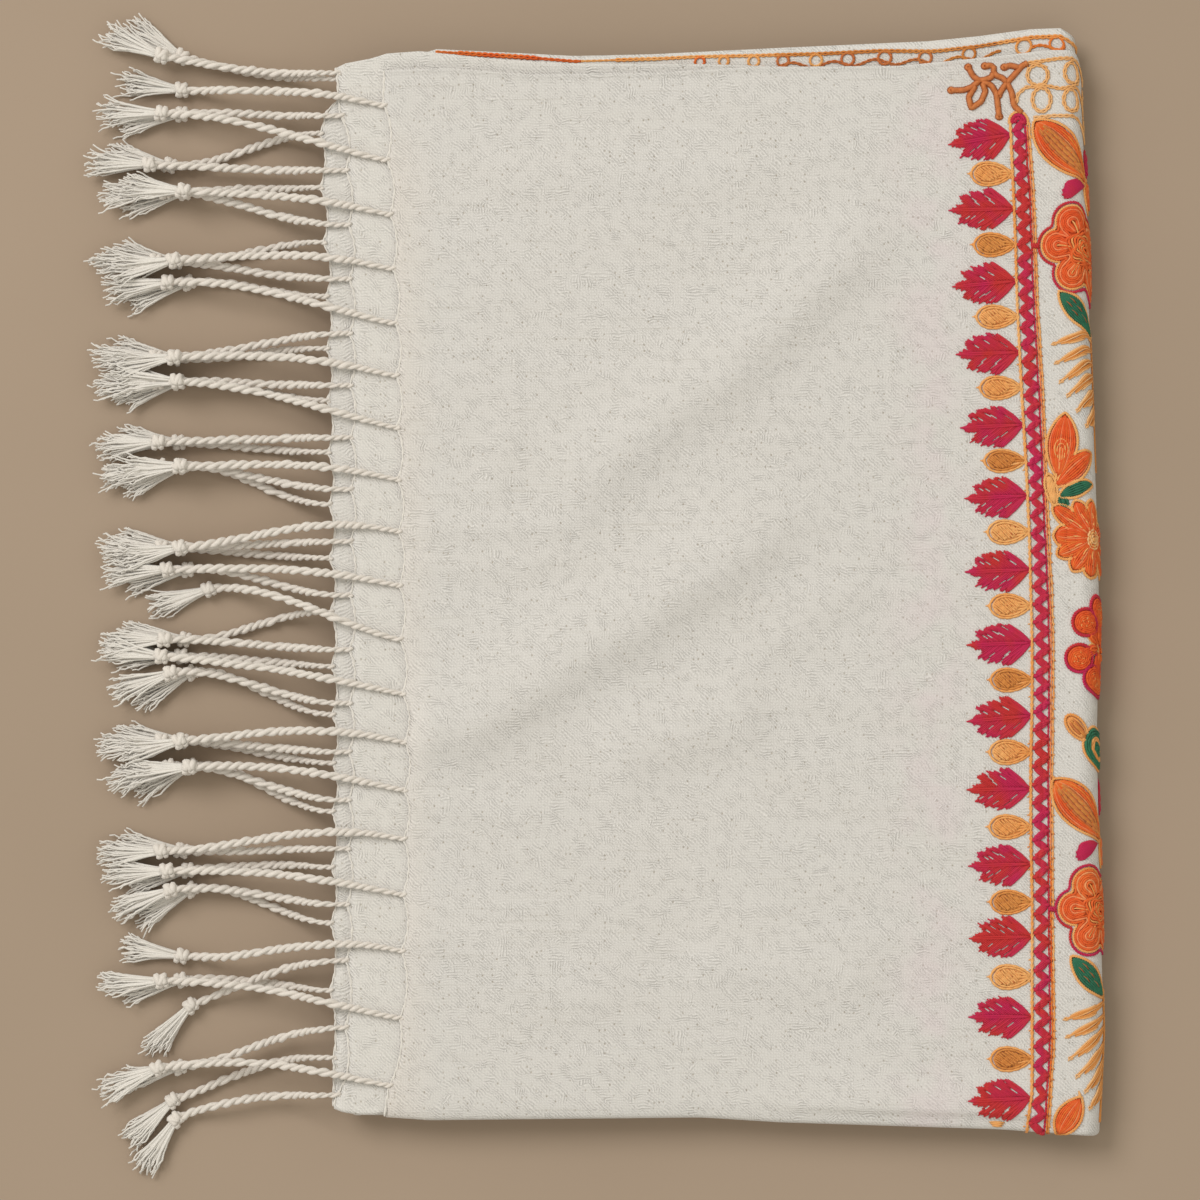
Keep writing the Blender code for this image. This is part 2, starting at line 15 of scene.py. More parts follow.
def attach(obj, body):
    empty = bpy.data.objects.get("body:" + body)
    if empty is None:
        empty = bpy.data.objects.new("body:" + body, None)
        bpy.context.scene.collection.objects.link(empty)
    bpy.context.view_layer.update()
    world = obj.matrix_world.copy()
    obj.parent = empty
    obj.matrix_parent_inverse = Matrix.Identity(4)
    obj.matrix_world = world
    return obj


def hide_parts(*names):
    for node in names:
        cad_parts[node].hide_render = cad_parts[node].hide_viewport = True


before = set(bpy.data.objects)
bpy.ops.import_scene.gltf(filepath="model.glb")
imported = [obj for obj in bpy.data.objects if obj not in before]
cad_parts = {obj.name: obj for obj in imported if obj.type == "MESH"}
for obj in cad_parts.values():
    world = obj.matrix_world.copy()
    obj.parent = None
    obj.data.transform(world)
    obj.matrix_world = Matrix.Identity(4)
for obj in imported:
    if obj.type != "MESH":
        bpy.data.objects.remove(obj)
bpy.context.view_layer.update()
MM = 0.001

# Heights of the layers above the surface, and how thick each cloth is.
TOP_Z = 14.7
TOP_THICK = 1.1
SECOND_Z = 13.2
SECOND_LOW_Z = 10.8
SECOND_THICK = 0.9
INNER_Z = 10.5
INNER_LOW_Z = 2.2
INNER_THICK = 0.9
CORE_Z = (1.5, 9.2)
CORE_LAYERS = 8

# The last fold, the lip of the long fold and the small fold underneath on the left.
LAST_FOLD_RADIUS = TOP_Z / 2
LIP_RADIUS = 1.6
LIP_DEPTH = 3.2
UNDER_FOLD_RADIUS = 3.3
UNDER_FOLD_X = -119.0
# How far the back corner draws in round the last fold, by the share of its turn.
CORNER_DROP = ((0.16, 0.0), (0.24, 0.9), (0.3, 2.4), (0.36, 4.6), (0.43, 7.0), (0.5, 8.5),
               (1.0, 5.0))
# The strip of close cuts at a fringed end. Then the top stretch's drooping front and lip, its
# raised back edge, the dip that edge presses into the stretch below, the ridge behind its front,
# and how far from the last fold these fade. Last, where the second stretch ends under it.
END_BAND = 8.0
FRONT_DROOP = 0.42
FRONT_DROOP_RUN = 7.0
LIP_DROOP = 0.55
LIP_DROOP_RUN = 3.8
BACK_RIM = 0.4
BACK_RIM_PLACE = 0.5
BACK_RIM_WIDTH = 0.9
BACK_DIP = 0.55
BACK_DIP_WIDTH = 2.2
FRONT_RIDGE = 1.35
FOLD_FADE = 12.0
SECOND_RIGHT = 111.0
# The embroidered stretch: its fold's depth and how far it lies inside the last fold, its corner's
# drop, and where its left, back and front ends lie.
INNER_FOLD_DEEP = 5.3
INNER_FOLD_SIDE = 1.9
INNER_CORNER_DROP = 9.0
INNER_LEFT = -124.0
INNER_ENDS = (185.0, -178.0)
INNER_FRONT_INSET = 2.2

# Plan of the folded cloth: each table has the place along a side, then the edge's place.
TOP_BACK = ((-110.6, 171.6), (-90, 172.3), (-62, 170.2), (-20, 170.8), (10, 172.6), (60, 173),
            (86, 175.6), (109, 178.2), (126, 178.2))
TOP_FRONT = ((-110.6, -174.2), (-96, -175.2), (-6, -174.3), (20, -175.9), (92, -178.2),
             (125, -180.5))
TOP_RIGHT = ((-180.5, 125.7), (-165, 126.4), (-145, 127.2), (-103, 126.1), (-46, 124.9),
             (-5, 125.8), (36, 124.7), (96, 122.4), (129, 121.8), (168, 119.8))
SECOND_BACK = ((-127, 172.6), (-123.8, 174.2), (-115, 175.9), (-110, 177.5), (-99, 178.3),
               (-73, 175.6), (-48, 174.2), (0, 173.9), (60, 172), (112, 175))
SECOND_FRONT_INSET = ((-129, 3.4), (-125, 1.7), (-119, 0.7), (-112.5, 0.8), (-110, 1.6),
                      (-104, 2.1))
INNER_BACK = ((-124, 170), (-99, 177.2), (-94, 178.9), (-65, 177.5), (-48, 176.6), (-22, 177.2),
              (18, 179.2), (69, 181.5), (86, 183.2), (103, 185.5), (112, 185.8))

# The fringe's knotting places on the three ends that show, back to front.
ROOT_PITCH = 17.97
FIRST_ROOT_Y = 160.0
ROOT_DRIFT = ((0, 0), (4, 0), (8, 3.2), (11, 3.6), (14, 9.6), (16, 8.6), (18, 0))
ROOTS = 19
TOP_END = ((-174.2, -110.6), (-163, -108.9), (-139, -105.3), (-100, -104.7), (-50, -104),
           (-16, -105.6), (37, -106.4), (88, -107.2), (123, -108.9), (160, -110.9), (171.6, -110.5))
SECOND_END = ((-171, -127.5), (-161, -125), (-146, -123.8), (-36, -122.5), (43, -122.1),
              (115, -122.6), (143, -123.8), (163, -125.7), (173, -126.4))
THIRD_END = ((-171, -127.5), (-158, -127.2), (-145, -129), (-53, -128), (53, -129.7), (102, -130.3),
             (137, -132.3), (158, -132), (163, -126.8), (173, -126.6))
ENDS = (TOP_END, SECOND_END, THIRD_END)
# How far each row's knotting places lie behind the top row's; the second row has one more.
ROOT_SHIFTS = (0.0, -3.3, 8.9)
SECOND_EXTRA_ROOT = 170.8
SCALLOP = 2.2

# The cords: their heights by their place along X, the heights they start at, and how each row
# starts sideways.
DROPS = (
    ((-185, 9.6), (-152, 9.6), (-146, 10.4), (-140, 12.7), (-134, 14.9), (-100, 15.0)),
    ((-185, 5.9), (-151, 5.9), (-146, 6.4), (-140, 9.2), (-134, 13.5), (-100, 13.6)),
    ((-185, 1.9), (-150, 1.9), (-146, 2.3), (-140, 5.2), (-134, 10.2), (-129, 11.1), (-100, 11.3)),
)
END_HEIGHTS = (TOP_Z - 0.5 * TOP_THICK, SECOND_Z - 0.5 * SECOND_THICK,
               SECOND_LOW_Z + 0.5 * SECOND_THICK)
FIRST_RISE = (6.5, -0.5, 0.5)
# A knot's half height and gap to the floor, and how knots and tassels lie on each other.
KNOT_HALF = 2.1
FLOOR_GAP = 0.3
PILE_STEP = 4.1
PILE_SHIFT = (3.5, -3.0, 3.5)
PILE_LEAN = -9.0
# How a cord settles towards its knot and bends at both ends.
SETTLE_RUN = 18.0
ROOT_RUN = 0.38
KNOT_RUN = 0.34
KNOT_BEND = 0.45
CORD_STEPS = 40

# Each bunch of tassels: its knots as (x, y, angle of the tassel), then the knot that each cord of
# the top, second and third rows runs to, back to front.
BUNCHES = (
    (((-182, 177, 32), (-182, 166, 8), (-182, 158, -8)), "12", "02", "0"),
    (((-186, 141, 11), (-181, 132, -12)), "1", "01", "01"),
    (((-184, 109, 8), (-180, 102, -16)), "01", "0", "01"),
    (((-184, 77, 10), (-183, 69, -15)), "01", "01", "01"),
    (((-183, 49, 4), (-182, 41, -20)), "1", "01", "01"),
    (((-182, 14, 8), (-180, 6.8, -12), (-173, 0.2, -17)), "012", "01", "0"),
    (((-181, -16.4, 6), (-182, -22, 0), (-179, -27.5, -27)), "1", "02", "012"),
    (((-182, -50, 5), (-179, -58.5, -24)), "01", "01", "01"),
    (((-182, -86.5, 6), (-180, -93, -12), (-179, -99.5, -30)), "01", "02", "12"),
    (((-182, -121.5, 9), (-182, -129.5, -12), (-179, -138, -48)), "01", "2", "1"),
    (((-183, -158.5, -14), (-185, -169.5, -42), (-184, -175.8, -56)), "0", "02", "1"),
)


# ---------------------------------------------------------------- small helps

def smooth_step(share):
    share = min(max(share, 0.0), 1.0)
    return share * share * (3.0 - 2.0 * share)


def mix(low, high, share):
    return low + (high - low) * share


def along(table, place):
    """The table's value at a place, straight between its rows and level past its ends."""
    if place <= table[0][0]:
        return table[0][1]
    for (start, low), (end, high) in zip(table, table[1:]):
        if place <= end:
            return mix(low, high, (place - start) / (end - start))
    return table[-1][1]


def cuts(*runs):
    """Places of the cuts in a grid: each run is its first place, its last and how many parts."""
    places = [runs[0][0]]
    for first, last, parts in runs:
        places += [mix(first, last, step / parts) for step in range(1, parts + 1)]
    return places


def finish_piece(name, bm, finish, node=None):
    """Makes a piece in metres, riding on the part, from a bmesh in millimetres. It may replace a
    node of the part."""
    bmesh.ops.scale(bm, vec=(MM, MM, MM), verts=bm.verts)
    mesh = bpy.data.meshes.new(name)
    bm.to_mesh(mesh)
    bm.free()
    mesh.shade_smooth()
    mesh.materials.append(finish)
    piece = bpy.data.objects.new(name, mesh)
    bpy.context.scene.collection.objects.link(piece)
    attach(piece, "root")
    if node:
        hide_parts(node)
    return piece


def weave_places(bm, place):
    """Gives a sheet its places in the flat cloth: place(vert) is a vert's own, in millimetres."""
    weave = bm.loops.layers.uv.new("weave")
    for face in bm.faces:
        for loop in face.loops:
            loop[weave].uv = place(loop.vert)


# ---------------------------------------------------------------- finishes

# The weave's ribs: how far apart they are and how far they are turned. In patches they turn another
# way: each has its channel of the patches' noise, where in it the patch starts, and its own turn.
RIB_PITCH = 0.9
RIB_TURN = -48
RIB_PATCHES = (("Red", 0.66, 45), ("Green", 0.585, 90), ("Blue", 0.63, 0))
PATCH_EDGE = 0.03
WHITE = (1.0, 1.0, 1.0)
SPECULAR = 0.25


def dimmed(tint, *shares):
    """A colour with its parts multiplied by one share, or each by its own."""
    return [part * share for part, share in zip(tint, shares * 3)]


class Nodes:
    """A node tree being laid out, with short ways to add and join nodes."""

    def __init__(self, name):
        self.material = bpy.data.materials.new(name)
        self.material.use_nodes = True
        self.tree = self.material.node_tree
        self.shader = self.tree.nodes["Principled BSDF"]

    def give(self, socket, value):
        """Joins another node's output to a socket, or sets a plain value on it."""
        if isinstance(value, bpy.types.NodeSocket):
            self.tree.links.new(value, socket)
        else:
            socket.default_value = value

    def node(self, kind, inputs=None, **settings):
        node = self.tree.nodes.new("ShaderNode" + kind)
        for key, value in settings.items():
            setattr(node, key, value)
        for key, value in (inputs or {}).items():
            self.give(node.inputs[key], value)
        return node

    def add(self, kind, output, inputs=None, **settings):
        """Adds a node and gives one of its outputs."""
        return self.node(kind, inputs, **settings).outputs[output]

    def maths(self, operation, first, second):
        return self.add("Math", 0, {0: first, 1: second}, operation=operation)

    def times(self, first, second):
        return self.maths("MULTIPLY", first, second)

    def weighed(self, first, weight, second, other_weight):
        return self.maths("ADD", self.times(first, weight), self.times(second, other_weight))

    def span(self, value, start, end, first=0.0, last=1.0):
        """Runs from first to last while the value runs from start to end."""
        return self.add("MapRange", "Result", {"Value": value, "From Min": start, "From Max": end,
                                               "To Min": first, "To Max": last})

    def between(self, share, low, high):
        return self.add("Mix", 0, {0: share, 2: low, 3: high}, data_type="FLOAT")

    def mapped(self, where, **change):
        return self.add("Mapping", "Vector", {"Vector": where, **change})

    def noise(self, where, scale, detail=3.0, rough=0.6, output="Fac"):
        return self.add("TexNoise", output, {"Vector": where, "Scale": scale, "Detail": detail,
                                             "Roughness": rough})

    def ribs(self, where, degrees):
        """Fine wandering ribs that slant at an angle."""
        inputs = {"Vector": self.mapped(where, Rotation=(0, 0, math.radians(degrees))),
                  "Scale": 2 * math.pi / (20 * RIB_PITCH), "Distortion": 2.0, "Detail": 2.0,
                  "Detail Scale": 0.9}
        return self.add("TexWave", "Fac", inputs, wave_type="BANDS", bands_direction="X")

    def ramp(self, factor, *stops):
        node = self.node("ValToRGB", {"Fac": factor})
        band = node.color_ramp
        while len(band.elements) < len(stops):
            band.elements.new(0.5)
        for element, (place, colour) in zip(band.elements, stops):
            element.position = place
            element.color = (*colour, 1.0)
        return node.outputs["Color"]

    def blend(self, factor, first, second, kind="MIX"):
        """Blends a node's colour with another node's or a plain one."""
        if not isinstance(second, bpy.types.NodeSocket):
            second = (*second, 1.0)
        inputs = {0: factor, 6: first, 7: second}
        return self.add("Mix", 2, inputs, data_type="RGBA", blend_type=kind)

    def finish(self, colour, roughness, height=None, depth=0.0, sheen=0.0):
        self.give(self.shader.inputs["Base Color"], colour)
        for key, value in (("Roughness", roughness), ("Sheen Weight", sheen),
                           ("Specular IOR Level", SPECULAR)):
            self.shader.inputs[key].default_value = value
        if height is not None:
            inputs = {"Height": height, "Distance": depth, "Strength": 1.0}
            self.give(self.shader.inputs["Normal"], self.add("Bump", "Normal", inputs))
        return self.material


def woven_wool(name, tint, show_through_and_painted_glow=False):
    """Fine wool with a small woven pattern of slanting ribs, its openings and its uneven tone, with
    painted shade in the ribs' valleys and inside the openings.
    """
    nodes = Nodes(name)
    flat = nodes.add("UVMap", "UV", uv_map="weave")
    split = nodes.node("SeparateXYZ", {"Vector": flat}).outputs
    wander = nodes.noise(flat, 0.22, 2.0, 0.5, "Color")
    shift = nodes.add("VectorMath", "Vector", {0: wander, "Scale": 2.2}, operation="SCALE")
    place = nodes.add("VectorMath", "Vector", {0: flat, 1: shift}, operation="ADD")
    patches = nodes.noise(place, 0.17, 2.5, 0.6, "Color")
    patches = nodes.node("SeparateColor", {"Color": patches}).outputs
    before_band = nodes.span(split["X"], 98.0, 110.0, 1.0, 0.0)
    rib = nodes.ribs(place, RIB_TURN)
    for channel, start, turn in RIB_PATCHES:
        here = nodes.times(nodes.span(patches[channel], start, start + PATCH_EDGE), before_band)
        rib = nodes.between(here, rib, nodes.ribs(place, turn))
    strength = nodes.span(nodes.noise(flat, 0.25, 2.0), 0.42, 0.62, 0.2, 1.2)
    rib = nodes.between(strength, 0.5, rib)
    grid = nodes.times(nodes.ribs(place, 90), nodes.ribs(place, 0))
    rib = nodes.weighed(rib, 0.8, grid, 0.35)

    rows = nodes.mapped(flat, Scale=(0.62, 0.5, 1.0))
    hole = nodes.node("TexVoronoi", {"Vector": rows, "Scale": 1.0, "Randomness": 0.62},
                      feature="F1").outputs
    chosen = nodes.add("SeparateColor", "Red", {"Color": hole["Color"]})
    chosen = nodes.maths("ADD", chosen, nodes.noise(flat, 0.13, 3.0, 0.7))
    loose = nodes.span(chosen, 0.62, 1.14, 10.0, 3.2)
    opening = nodes.maths("MINIMUM", nodes.times(hole["Distance"], loose), 1.0)

    fibre = nodes.noise(flat, 2.0, 4.0, 0.7)
    broad = nodes.noise(nodes.mapped(flat, Scale=(0.3, 1.0, 1.0)), 0.06, 2.0, 0.5)
    thread = nodes.noise(nodes.mapped(flat, Scale=(0.03, 1.0, 1.0)), 0.9, 2.0, 0.6)
    height = nodes.times(nodes.weighed(rib, 0.6, fibre, 0.45), opening)
    # Painted shade: the ribs' valleys are coloured darker, mixed with the fibres' own uneven tone.
    tone = nodes.weighed(rib, 0.7, fibre, 0.3)
    colour = nodes.ramp(tone, (0.12, dimmed(tint, 0.7)), (0.8, dimmed(tint, 1.05)))
    colour = nodes.blend(nodes.times(broad, 0.4), colour, dimmed(tint, 0.86, 0.84, 0.8))
    streak = nodes.ramp(thread, (0.27, (0.92, 0.915, 0.9)), (0.4, WHITE))
    # Painted shade inside the openings between the threads.
    shade = nodes.ramp(opening, (0.1, (0.54, 0.49, 0.42)), (0.8, WHITE))
    colour = nodes.blend(1.0, nodes.blend(1.0, colour, streak, "MULTIPLY"), shade, "MULTIPLY")
    if show_through_and_painted_glow:
        # Painted light: a faint warm glow over the stretch near its fringed end, fading off towards
        # the back edge.
        painted_glow = nodes.times(nodes.span(split["X"], -108.0, -93.0, 1.0, 0.0),
                           nodes.span(split["Y"], 135.0, 160.0, 1.0, 0.0))
        colour = nodes.blend(painted_glow, colour, (1.04, 1.01, 0.985), "MULTIPLY")
        away = nodes.times(nodes.maths("SUBTRACT", split["X"], 70.0), 0.085)
        fade = nodes.maths("POWER", 2.718, nodes.times(nodes.maths("POWER", away, 2.0), -1.0))
        patch = nodes.ramp(nodes.noise(flat, 0.05, 2.0), (0.42, (0, 0, 0)), (0.62, WHITE))
        amount = nodes.times(nodes.times(fade, patch), 0.35)
        colour = nodes.blend(amount, colour, (0.70, 0.58, 0.62))
    return nodes.finish(colour, 0.92, height, 0.00036, sheen=0.12)


def soft_yarn(name, tint, sheen):
    """Loosely spun wool yarn with a hairy surface."""
    nodes = Nodes(name)
    where = nodes.add("TexCoord", "Object")
    fibre = nodes.noise(where, 2200.0, 4.0, 0.7)
    broad = nodes.noise(where, 60.0, 2.0)
    colour = nodes.ramp(fibre, (0.25, dimmed(tint, 0.8)), (0.7, tint))
    colour = nodes.blend(nodes.times(broad, 0.2), colour, dimmed(tint, 0.82))
    return nodes.finish(colour, 0.88, fibre, 0.0002, sheen=sheen)


def stitching_yarn(name, tint, other, scale=45.0):
    """Dyed embroidery yarn whose colour drifts from one shade to another."""
    nodes = Nodes(name)
    where = nodes.add("TexCoord", "Object")
    drift = nodes.noise(where, scale, 2.0)
    fibre = nodes.noise(where, 2600.0, 3.0, 0.7)
    dark = nodes.ramp(fibre, (0.2, (0.80, 0.78, 0.78)), (0.6, WHITE))
    colour = nodes.blend(1.0, nodes.ramp(drift, (0.38, tint), (0.62, other)), dark, "MULTIPLY")
    return nodes.finish(colour, 0.6, fibre, 0.0001, sheen=0.06)


WOOL = woven_wool("ivory_wool", (0.734, 0.714, 0.703), show_through_and_painted_glow=True)
# A lighter copy of the same wool for the lower stretches and the hidden layers: painted light that
# lifts their shade.
PAINTED_LIGHT_WOOL = woven_wool("ivory_wool_painted_lighter", (0.772, 0.75, 0.732))
CORD = soft_yarn("ivory_cord", (0.81, 0.752, 0.70), 0.4)
TASSEL = soft_yarn("ivory_tassel", (0.85, 0.81, 0.765), 0.5)
# The embroidery yarns: the two shades each drifts between, and for crimson how fast it does.
DYES = {
    "crimson": ((0.53, 0.014, 0.085), (0.56, 0.030, 0.032), 85.0),
    "orange": ((0.76, 0.10, 0.018), (0.80, 0.155, 0.028)),
    "gold": ((0.86, 0.45, 0.16), (0.82, 0.34, 0.09)),
    "salmon": ((0.86, 0.22, 0.085), (0.84, 0.34, 0.13)),
    "pale_gold": ((0.86, 0.52, 0.25), (0.82, 0.44, 0.17)),
    "ochre": ((0.62, 0.22, 0.045), (0.70, 0.29, 0.07)),
    "rust": ((0.56, 0.16, 0.045), (0.62, 0.21, 0.06)),
    "brown": ((0.36, 0.10, 0.03), (0.42, 0.14, 0.04)),
    "green": ((0.025, 0.15, 0.085), (0.035, 0.19, 0.10)),
    "flame": ((0.76, 0.125, 0.02), (0.82, 0.24, 0.04)),
}
YARNS = {dye.split("_")[0]: stitching_yarn(dye + "_yarn", *shades) for dye, shades in DYES.items()}


# ---------------------------------------------------------------- the folded cloth

def root_y(number):
    """Where a knotting place lies on the top end; fractions lie between two places."""
    return FIRST_ROOT_Y - ROOT_PITCH * number + along(ROOT_DRIFT, number)


def row_y(number, shift, back, front):
    """Where a row of an end starts on its left: from the back edge over the knotting places to the
    front."""
    if number < 0:
        return mix(back, root_y(0) + shift, number + 1)
    if number > ROOTS - 1:
        return mix(root_y(ROOTS - 1) + shift, front, number - ROOTS + 1)
    return root_y(number) + shift


def scallop(number):
    """How far the end draws back between two knotting places, each the sharp point of a scallop."""
    if not 0 < number < ROOTS - 1:
        return 0.0
    return SCALLOP * math.sin(math.pi * (number % 1.0)) ** 0.7


def second_front(x):
    return along(TOP_FRONT, x) + along(SECOND_FRONT_INSET, x)


def eased_row(end_y, x, left, back_edge, front_edge):
    """The y at x of a row that starts at end_y on the left and spreads with both edges."""
    back_base = back_edge(left)
    front_base = front_edge(left)
    share = (back_base - end_y) / (back_base - front_base)
    return end_y + mix(back_edge(x) - back_base, front_edge(x) - front_base, share)


# The soft folds that cross the top stretch, right to left: each one's line, how far it slopes off
# on its left and on its right, and its rise.
WAVES = (
    (((64, 128), (35, 103), (11, 79), (-2, 67), (-17, 58), (-39, 39), (-62, 16)), 9.5, 15.0, 2.6),
    (((36, 37), (12, 15), (-9, 2), (-26, -11), (-46, -22), (-65, -35), (-83, -46), (-135, -53)),
     9.5, 17.0, 3.3),
    (((54, 6), (27, -11), (4, -26)), 7.0, 10.0, 0.8),
    (((20, -37), (-12, -48), (-44, -61)), 10.0, 14.0, 1.8),
    (((-24, -142), (-56, -134), (-73, -123), (-135, -98)), 7.0, 12.0, 1.4),
    (((58, -133), (20, -128), (-16, -122)), 8.0, 12.0, 1.3),
    (((-36, 22), (-75, 20), (-130, 19)), 3.6, 5.5, 0.8),
    (((-40, 11), (-75, 7.5), (-130, 8)), 3.6, 5.5, 0.7),
    (((84, -37.5), (40, -37), (0, -37.5)), 2.4, 4.0, 0.35),
    (((-52, -77), (-80, -73), (-130, -71.5)), 3.4, 5.0, 0.6),
    (((30, 136), (-30, 140), (-90, 133)), 9.0, 9.0, 0.7),
    (((-66, 62), (-74, 40), (-78, 24)), 6.0, 6.0, 0.5),
)


def fold_rise(line, steep, gentle, rise, x, y):
    """How far one soft fold raises the cloth at a place."""
    xs, ys = zip(*line)
    room = 2.2 * gentle
    if not (min(xs) - room < x < max(xs) + room and min(ys) - room < y < max(ys) + room):
        return 0.0
    lengths = [math.dist(start, end) for start, end in zip(line, line[1:])]
    best = (math.inf, 0.0, 0.0)
    before = 0.0
    for (x0, y0), (x1, y1), length in zip(line, line[1:], lengths):
        ahead_x, ahead_y = (x1 - x0) / length, (y1 - y0) / length
        run = min(max((x - x0) * ahead_x + (y - y0) * ahead_y, 0.0), length)
        away = math.hypot(x - x0 - run * ahead_x, y - y0 - run * ahead_y)
        if away < best[0]:
            best = (away, ahead_x * (y - y0) - ahead_y * (x - x0), before + run)
        before += length
    away, left, run = best
    ends = smooth_step(min(run, before - run) / (0.22 * before))
    return rise * ends * math.exp(-((away / (steep if left > 0 else gentle)) ** 2))


def soft_waves(x, y):
    """How far the soft folds and the cloth's fine unevenness raise the top stretch at a place."""
    height = sum(fold_rise(*wave, x, y) for wave in WAVES)
    height += 0.3 * abs(noise.noise(Vector((x * 0.014, y * 0.11, 0.0))))
    height += 0.12 * abs(noise.noise(Vector((x * 0.15, y * 0.12, 3.0))))
    return (height * smooth_step((x + 107) / 12) * smooth_step((172 - abs(y)) / 20)
            * smooth_step((117 - x) / 14))


def top_skin(reach, y, lift=0.0):
    """A point over the top stretch. Reach runs over the last fold and back underneath; y runs on
    round the lip."""
    centre = along(TOP_RIGHT, y) - LAST_FOLD_RADIUS
    fold_run = math.pi * LAST_FOLD_RADIUS
    under_run = centre - UNDER_FOLD_X
    past = reach - centre
    folded = min(max(past / fold_run, 0.0), 1.0)
    turn = math.pi * folded
    out = Vector((math.sin(turn), math.cos(turn)))
    if past <= 0:
        x, z = reach, TOP_Z + soft_waves(reach, y)
    elif past <= fold_run:
        x, z = centre + LAST_FOLD_RADIUS * out.x, LAST_FOLD_RADIUS * (1 + out.y)
    elif past <= fold_run + under_run:
        x, z = centre - (past - fold_run), 0.0
    else:
        turn = (past - fold_run - under_run) / UNDER_FOLD_RADIUS
        out = Vector((-math.sin(turn), -math.cos(turn)))
        x, z = UNDER_FOLD_X + UNDER_FOLD_RADIUS * out.x, UNDER_FOLD_RADIUS * (1 + out.y)
    front = along(TOP_FRONT, x)
    droop = FRONT_DROOP * (1 - smooth_step((y - front) / FRONT_DROOP_RUN))
    droop += LIP_DROOP * (1 - smooth_step((y - front) / LIP_DROOP_RUN))
    back = along(TOP_BACK, x)
    rim = BACK_RIM * math.exp(-(((back - y - BACK_RIM_PLACE) / BACK_RIM_WIDTH) ** 2))
    z += (rim - droop) * smooth_step(-past / FOLD_FADE)
    ridge = smooth_step((y - front - 3.3) / 2.6) * (1 - smooth_step((y - front - 6.0) / 15))
    z += FRONT_RIDGE * ridge * smooth_step((reach - 2) / 45) * smooth_step(-past / 14)
    share = min(max((y - front) / (back - front), 0.0), 1.0)
    y -= along(CORNER_DROP, folded) * share
    over = front + LIP_RADIUS - y
    tilt = min(max(over / LIP_RADIUS, 0.0), 0.5 * math.pi)
    sink = 0.0
    if over > 0:
        sink = LIP_RADIUS * (1 - math.cos(tilt)) + max(over - 0.5 * math.pi * LIP_RADIUS, 0.0)
        y = front + LIP_RADIUS * (1 - math.sin(tilt))
    normal = Vector((out.x * math.cos(tilt), -math.sin(tilt), out.y * math.cos(tilt)))
    return Vector((x - out.x * sink, y, z - out.y * sink)) + normal * lift


def inner_skin(reach, inset, lift=0.0):
    """A point over the embroidered stretch: reach runs over its fold, inset from its selvedge."""
    middle_z = 0.5 * (INNER_Z + INNER_LOW_Z)
    half = INNER_Z - middle_z
    y = along(INNER_BACK, reach) - inset
    centre = along(TOP_RIGHT, y) - INNER_FOLD_SIDE - INNER_FOLD_DEEP
    fold_run = 0.5 * math.pi * (INNER_FOLD_DEEP + half)
    turn = math.pi * min(max((reach - centre) / fold_run, 0.0), 1.0)
    x = min(reach, centre) + INNER_FOLD_DEEP * math.sin(turn)
    z = middle_z + half * math.cos(turn)
    y = along(INNER_BACK, x) - INNER_CORNER_DROP * turn / math.pi - inset
    normal = Vector((math.sin(turn) * half, 0.0, math.cos(turn) * INNER_FOLD_DEEP)).normalized()
    return Vector((x, y, z)) + normal * lift


def top_place(column, row):
    """A point of the top stretch and its place in the flat cloth."""
    number = min(row, float(ROOTS))
    end_y = row_y(number, 0.0, TOP_BACK[0][1], TOP_FRONT[0][1] + LIP_RADIUS)
    left = along(TOP_END, end_y) + scallop(number)
    centre = along(TOP_RIGHT, end_y) - LAST_FOLD_RADIUS
    fold_end = centre + math.pi * LAST_FOLD_RADIUS
    if column <= 1:
        reach = left + END_BAND * column
    elif column <= 2:
        reach = mix(left + END_BAND, centre, column - 1)
    elif column <= 3:
        reach = centre + math.pi * LAST_FOLD_RADIUS * (column - 2)
    elif column <= 4:
        reach = fold_end + (centre - UNDER_FOLD_X) * (column - 3)
    else:
        small_fold = UNDER_FOLD_RADIUS * (column - 4)
        reach = 2 * centre - UNDER_FOLD_X + math.pi * (LAST_FOLD_RADIUS + small_fold)
    x = min(reach, centre + fold_end - reach if column > 2 else reach)
    y = eased_row(end_y, x, left, lambda at: along(TOP_BACK, at),
                  lambda at: along(TOP_FRONT, at) + LIP_RADIUS)
    if row > ROOTS:
        deep = LIP_DEPTH - LIP_RADIUS if column <= 4 else 0.6
        y -= (0.5 * math.pi * LIP_RADIUS + deep) * (row - ROOTS)
    return top_skin(reach, y), (reach, y)


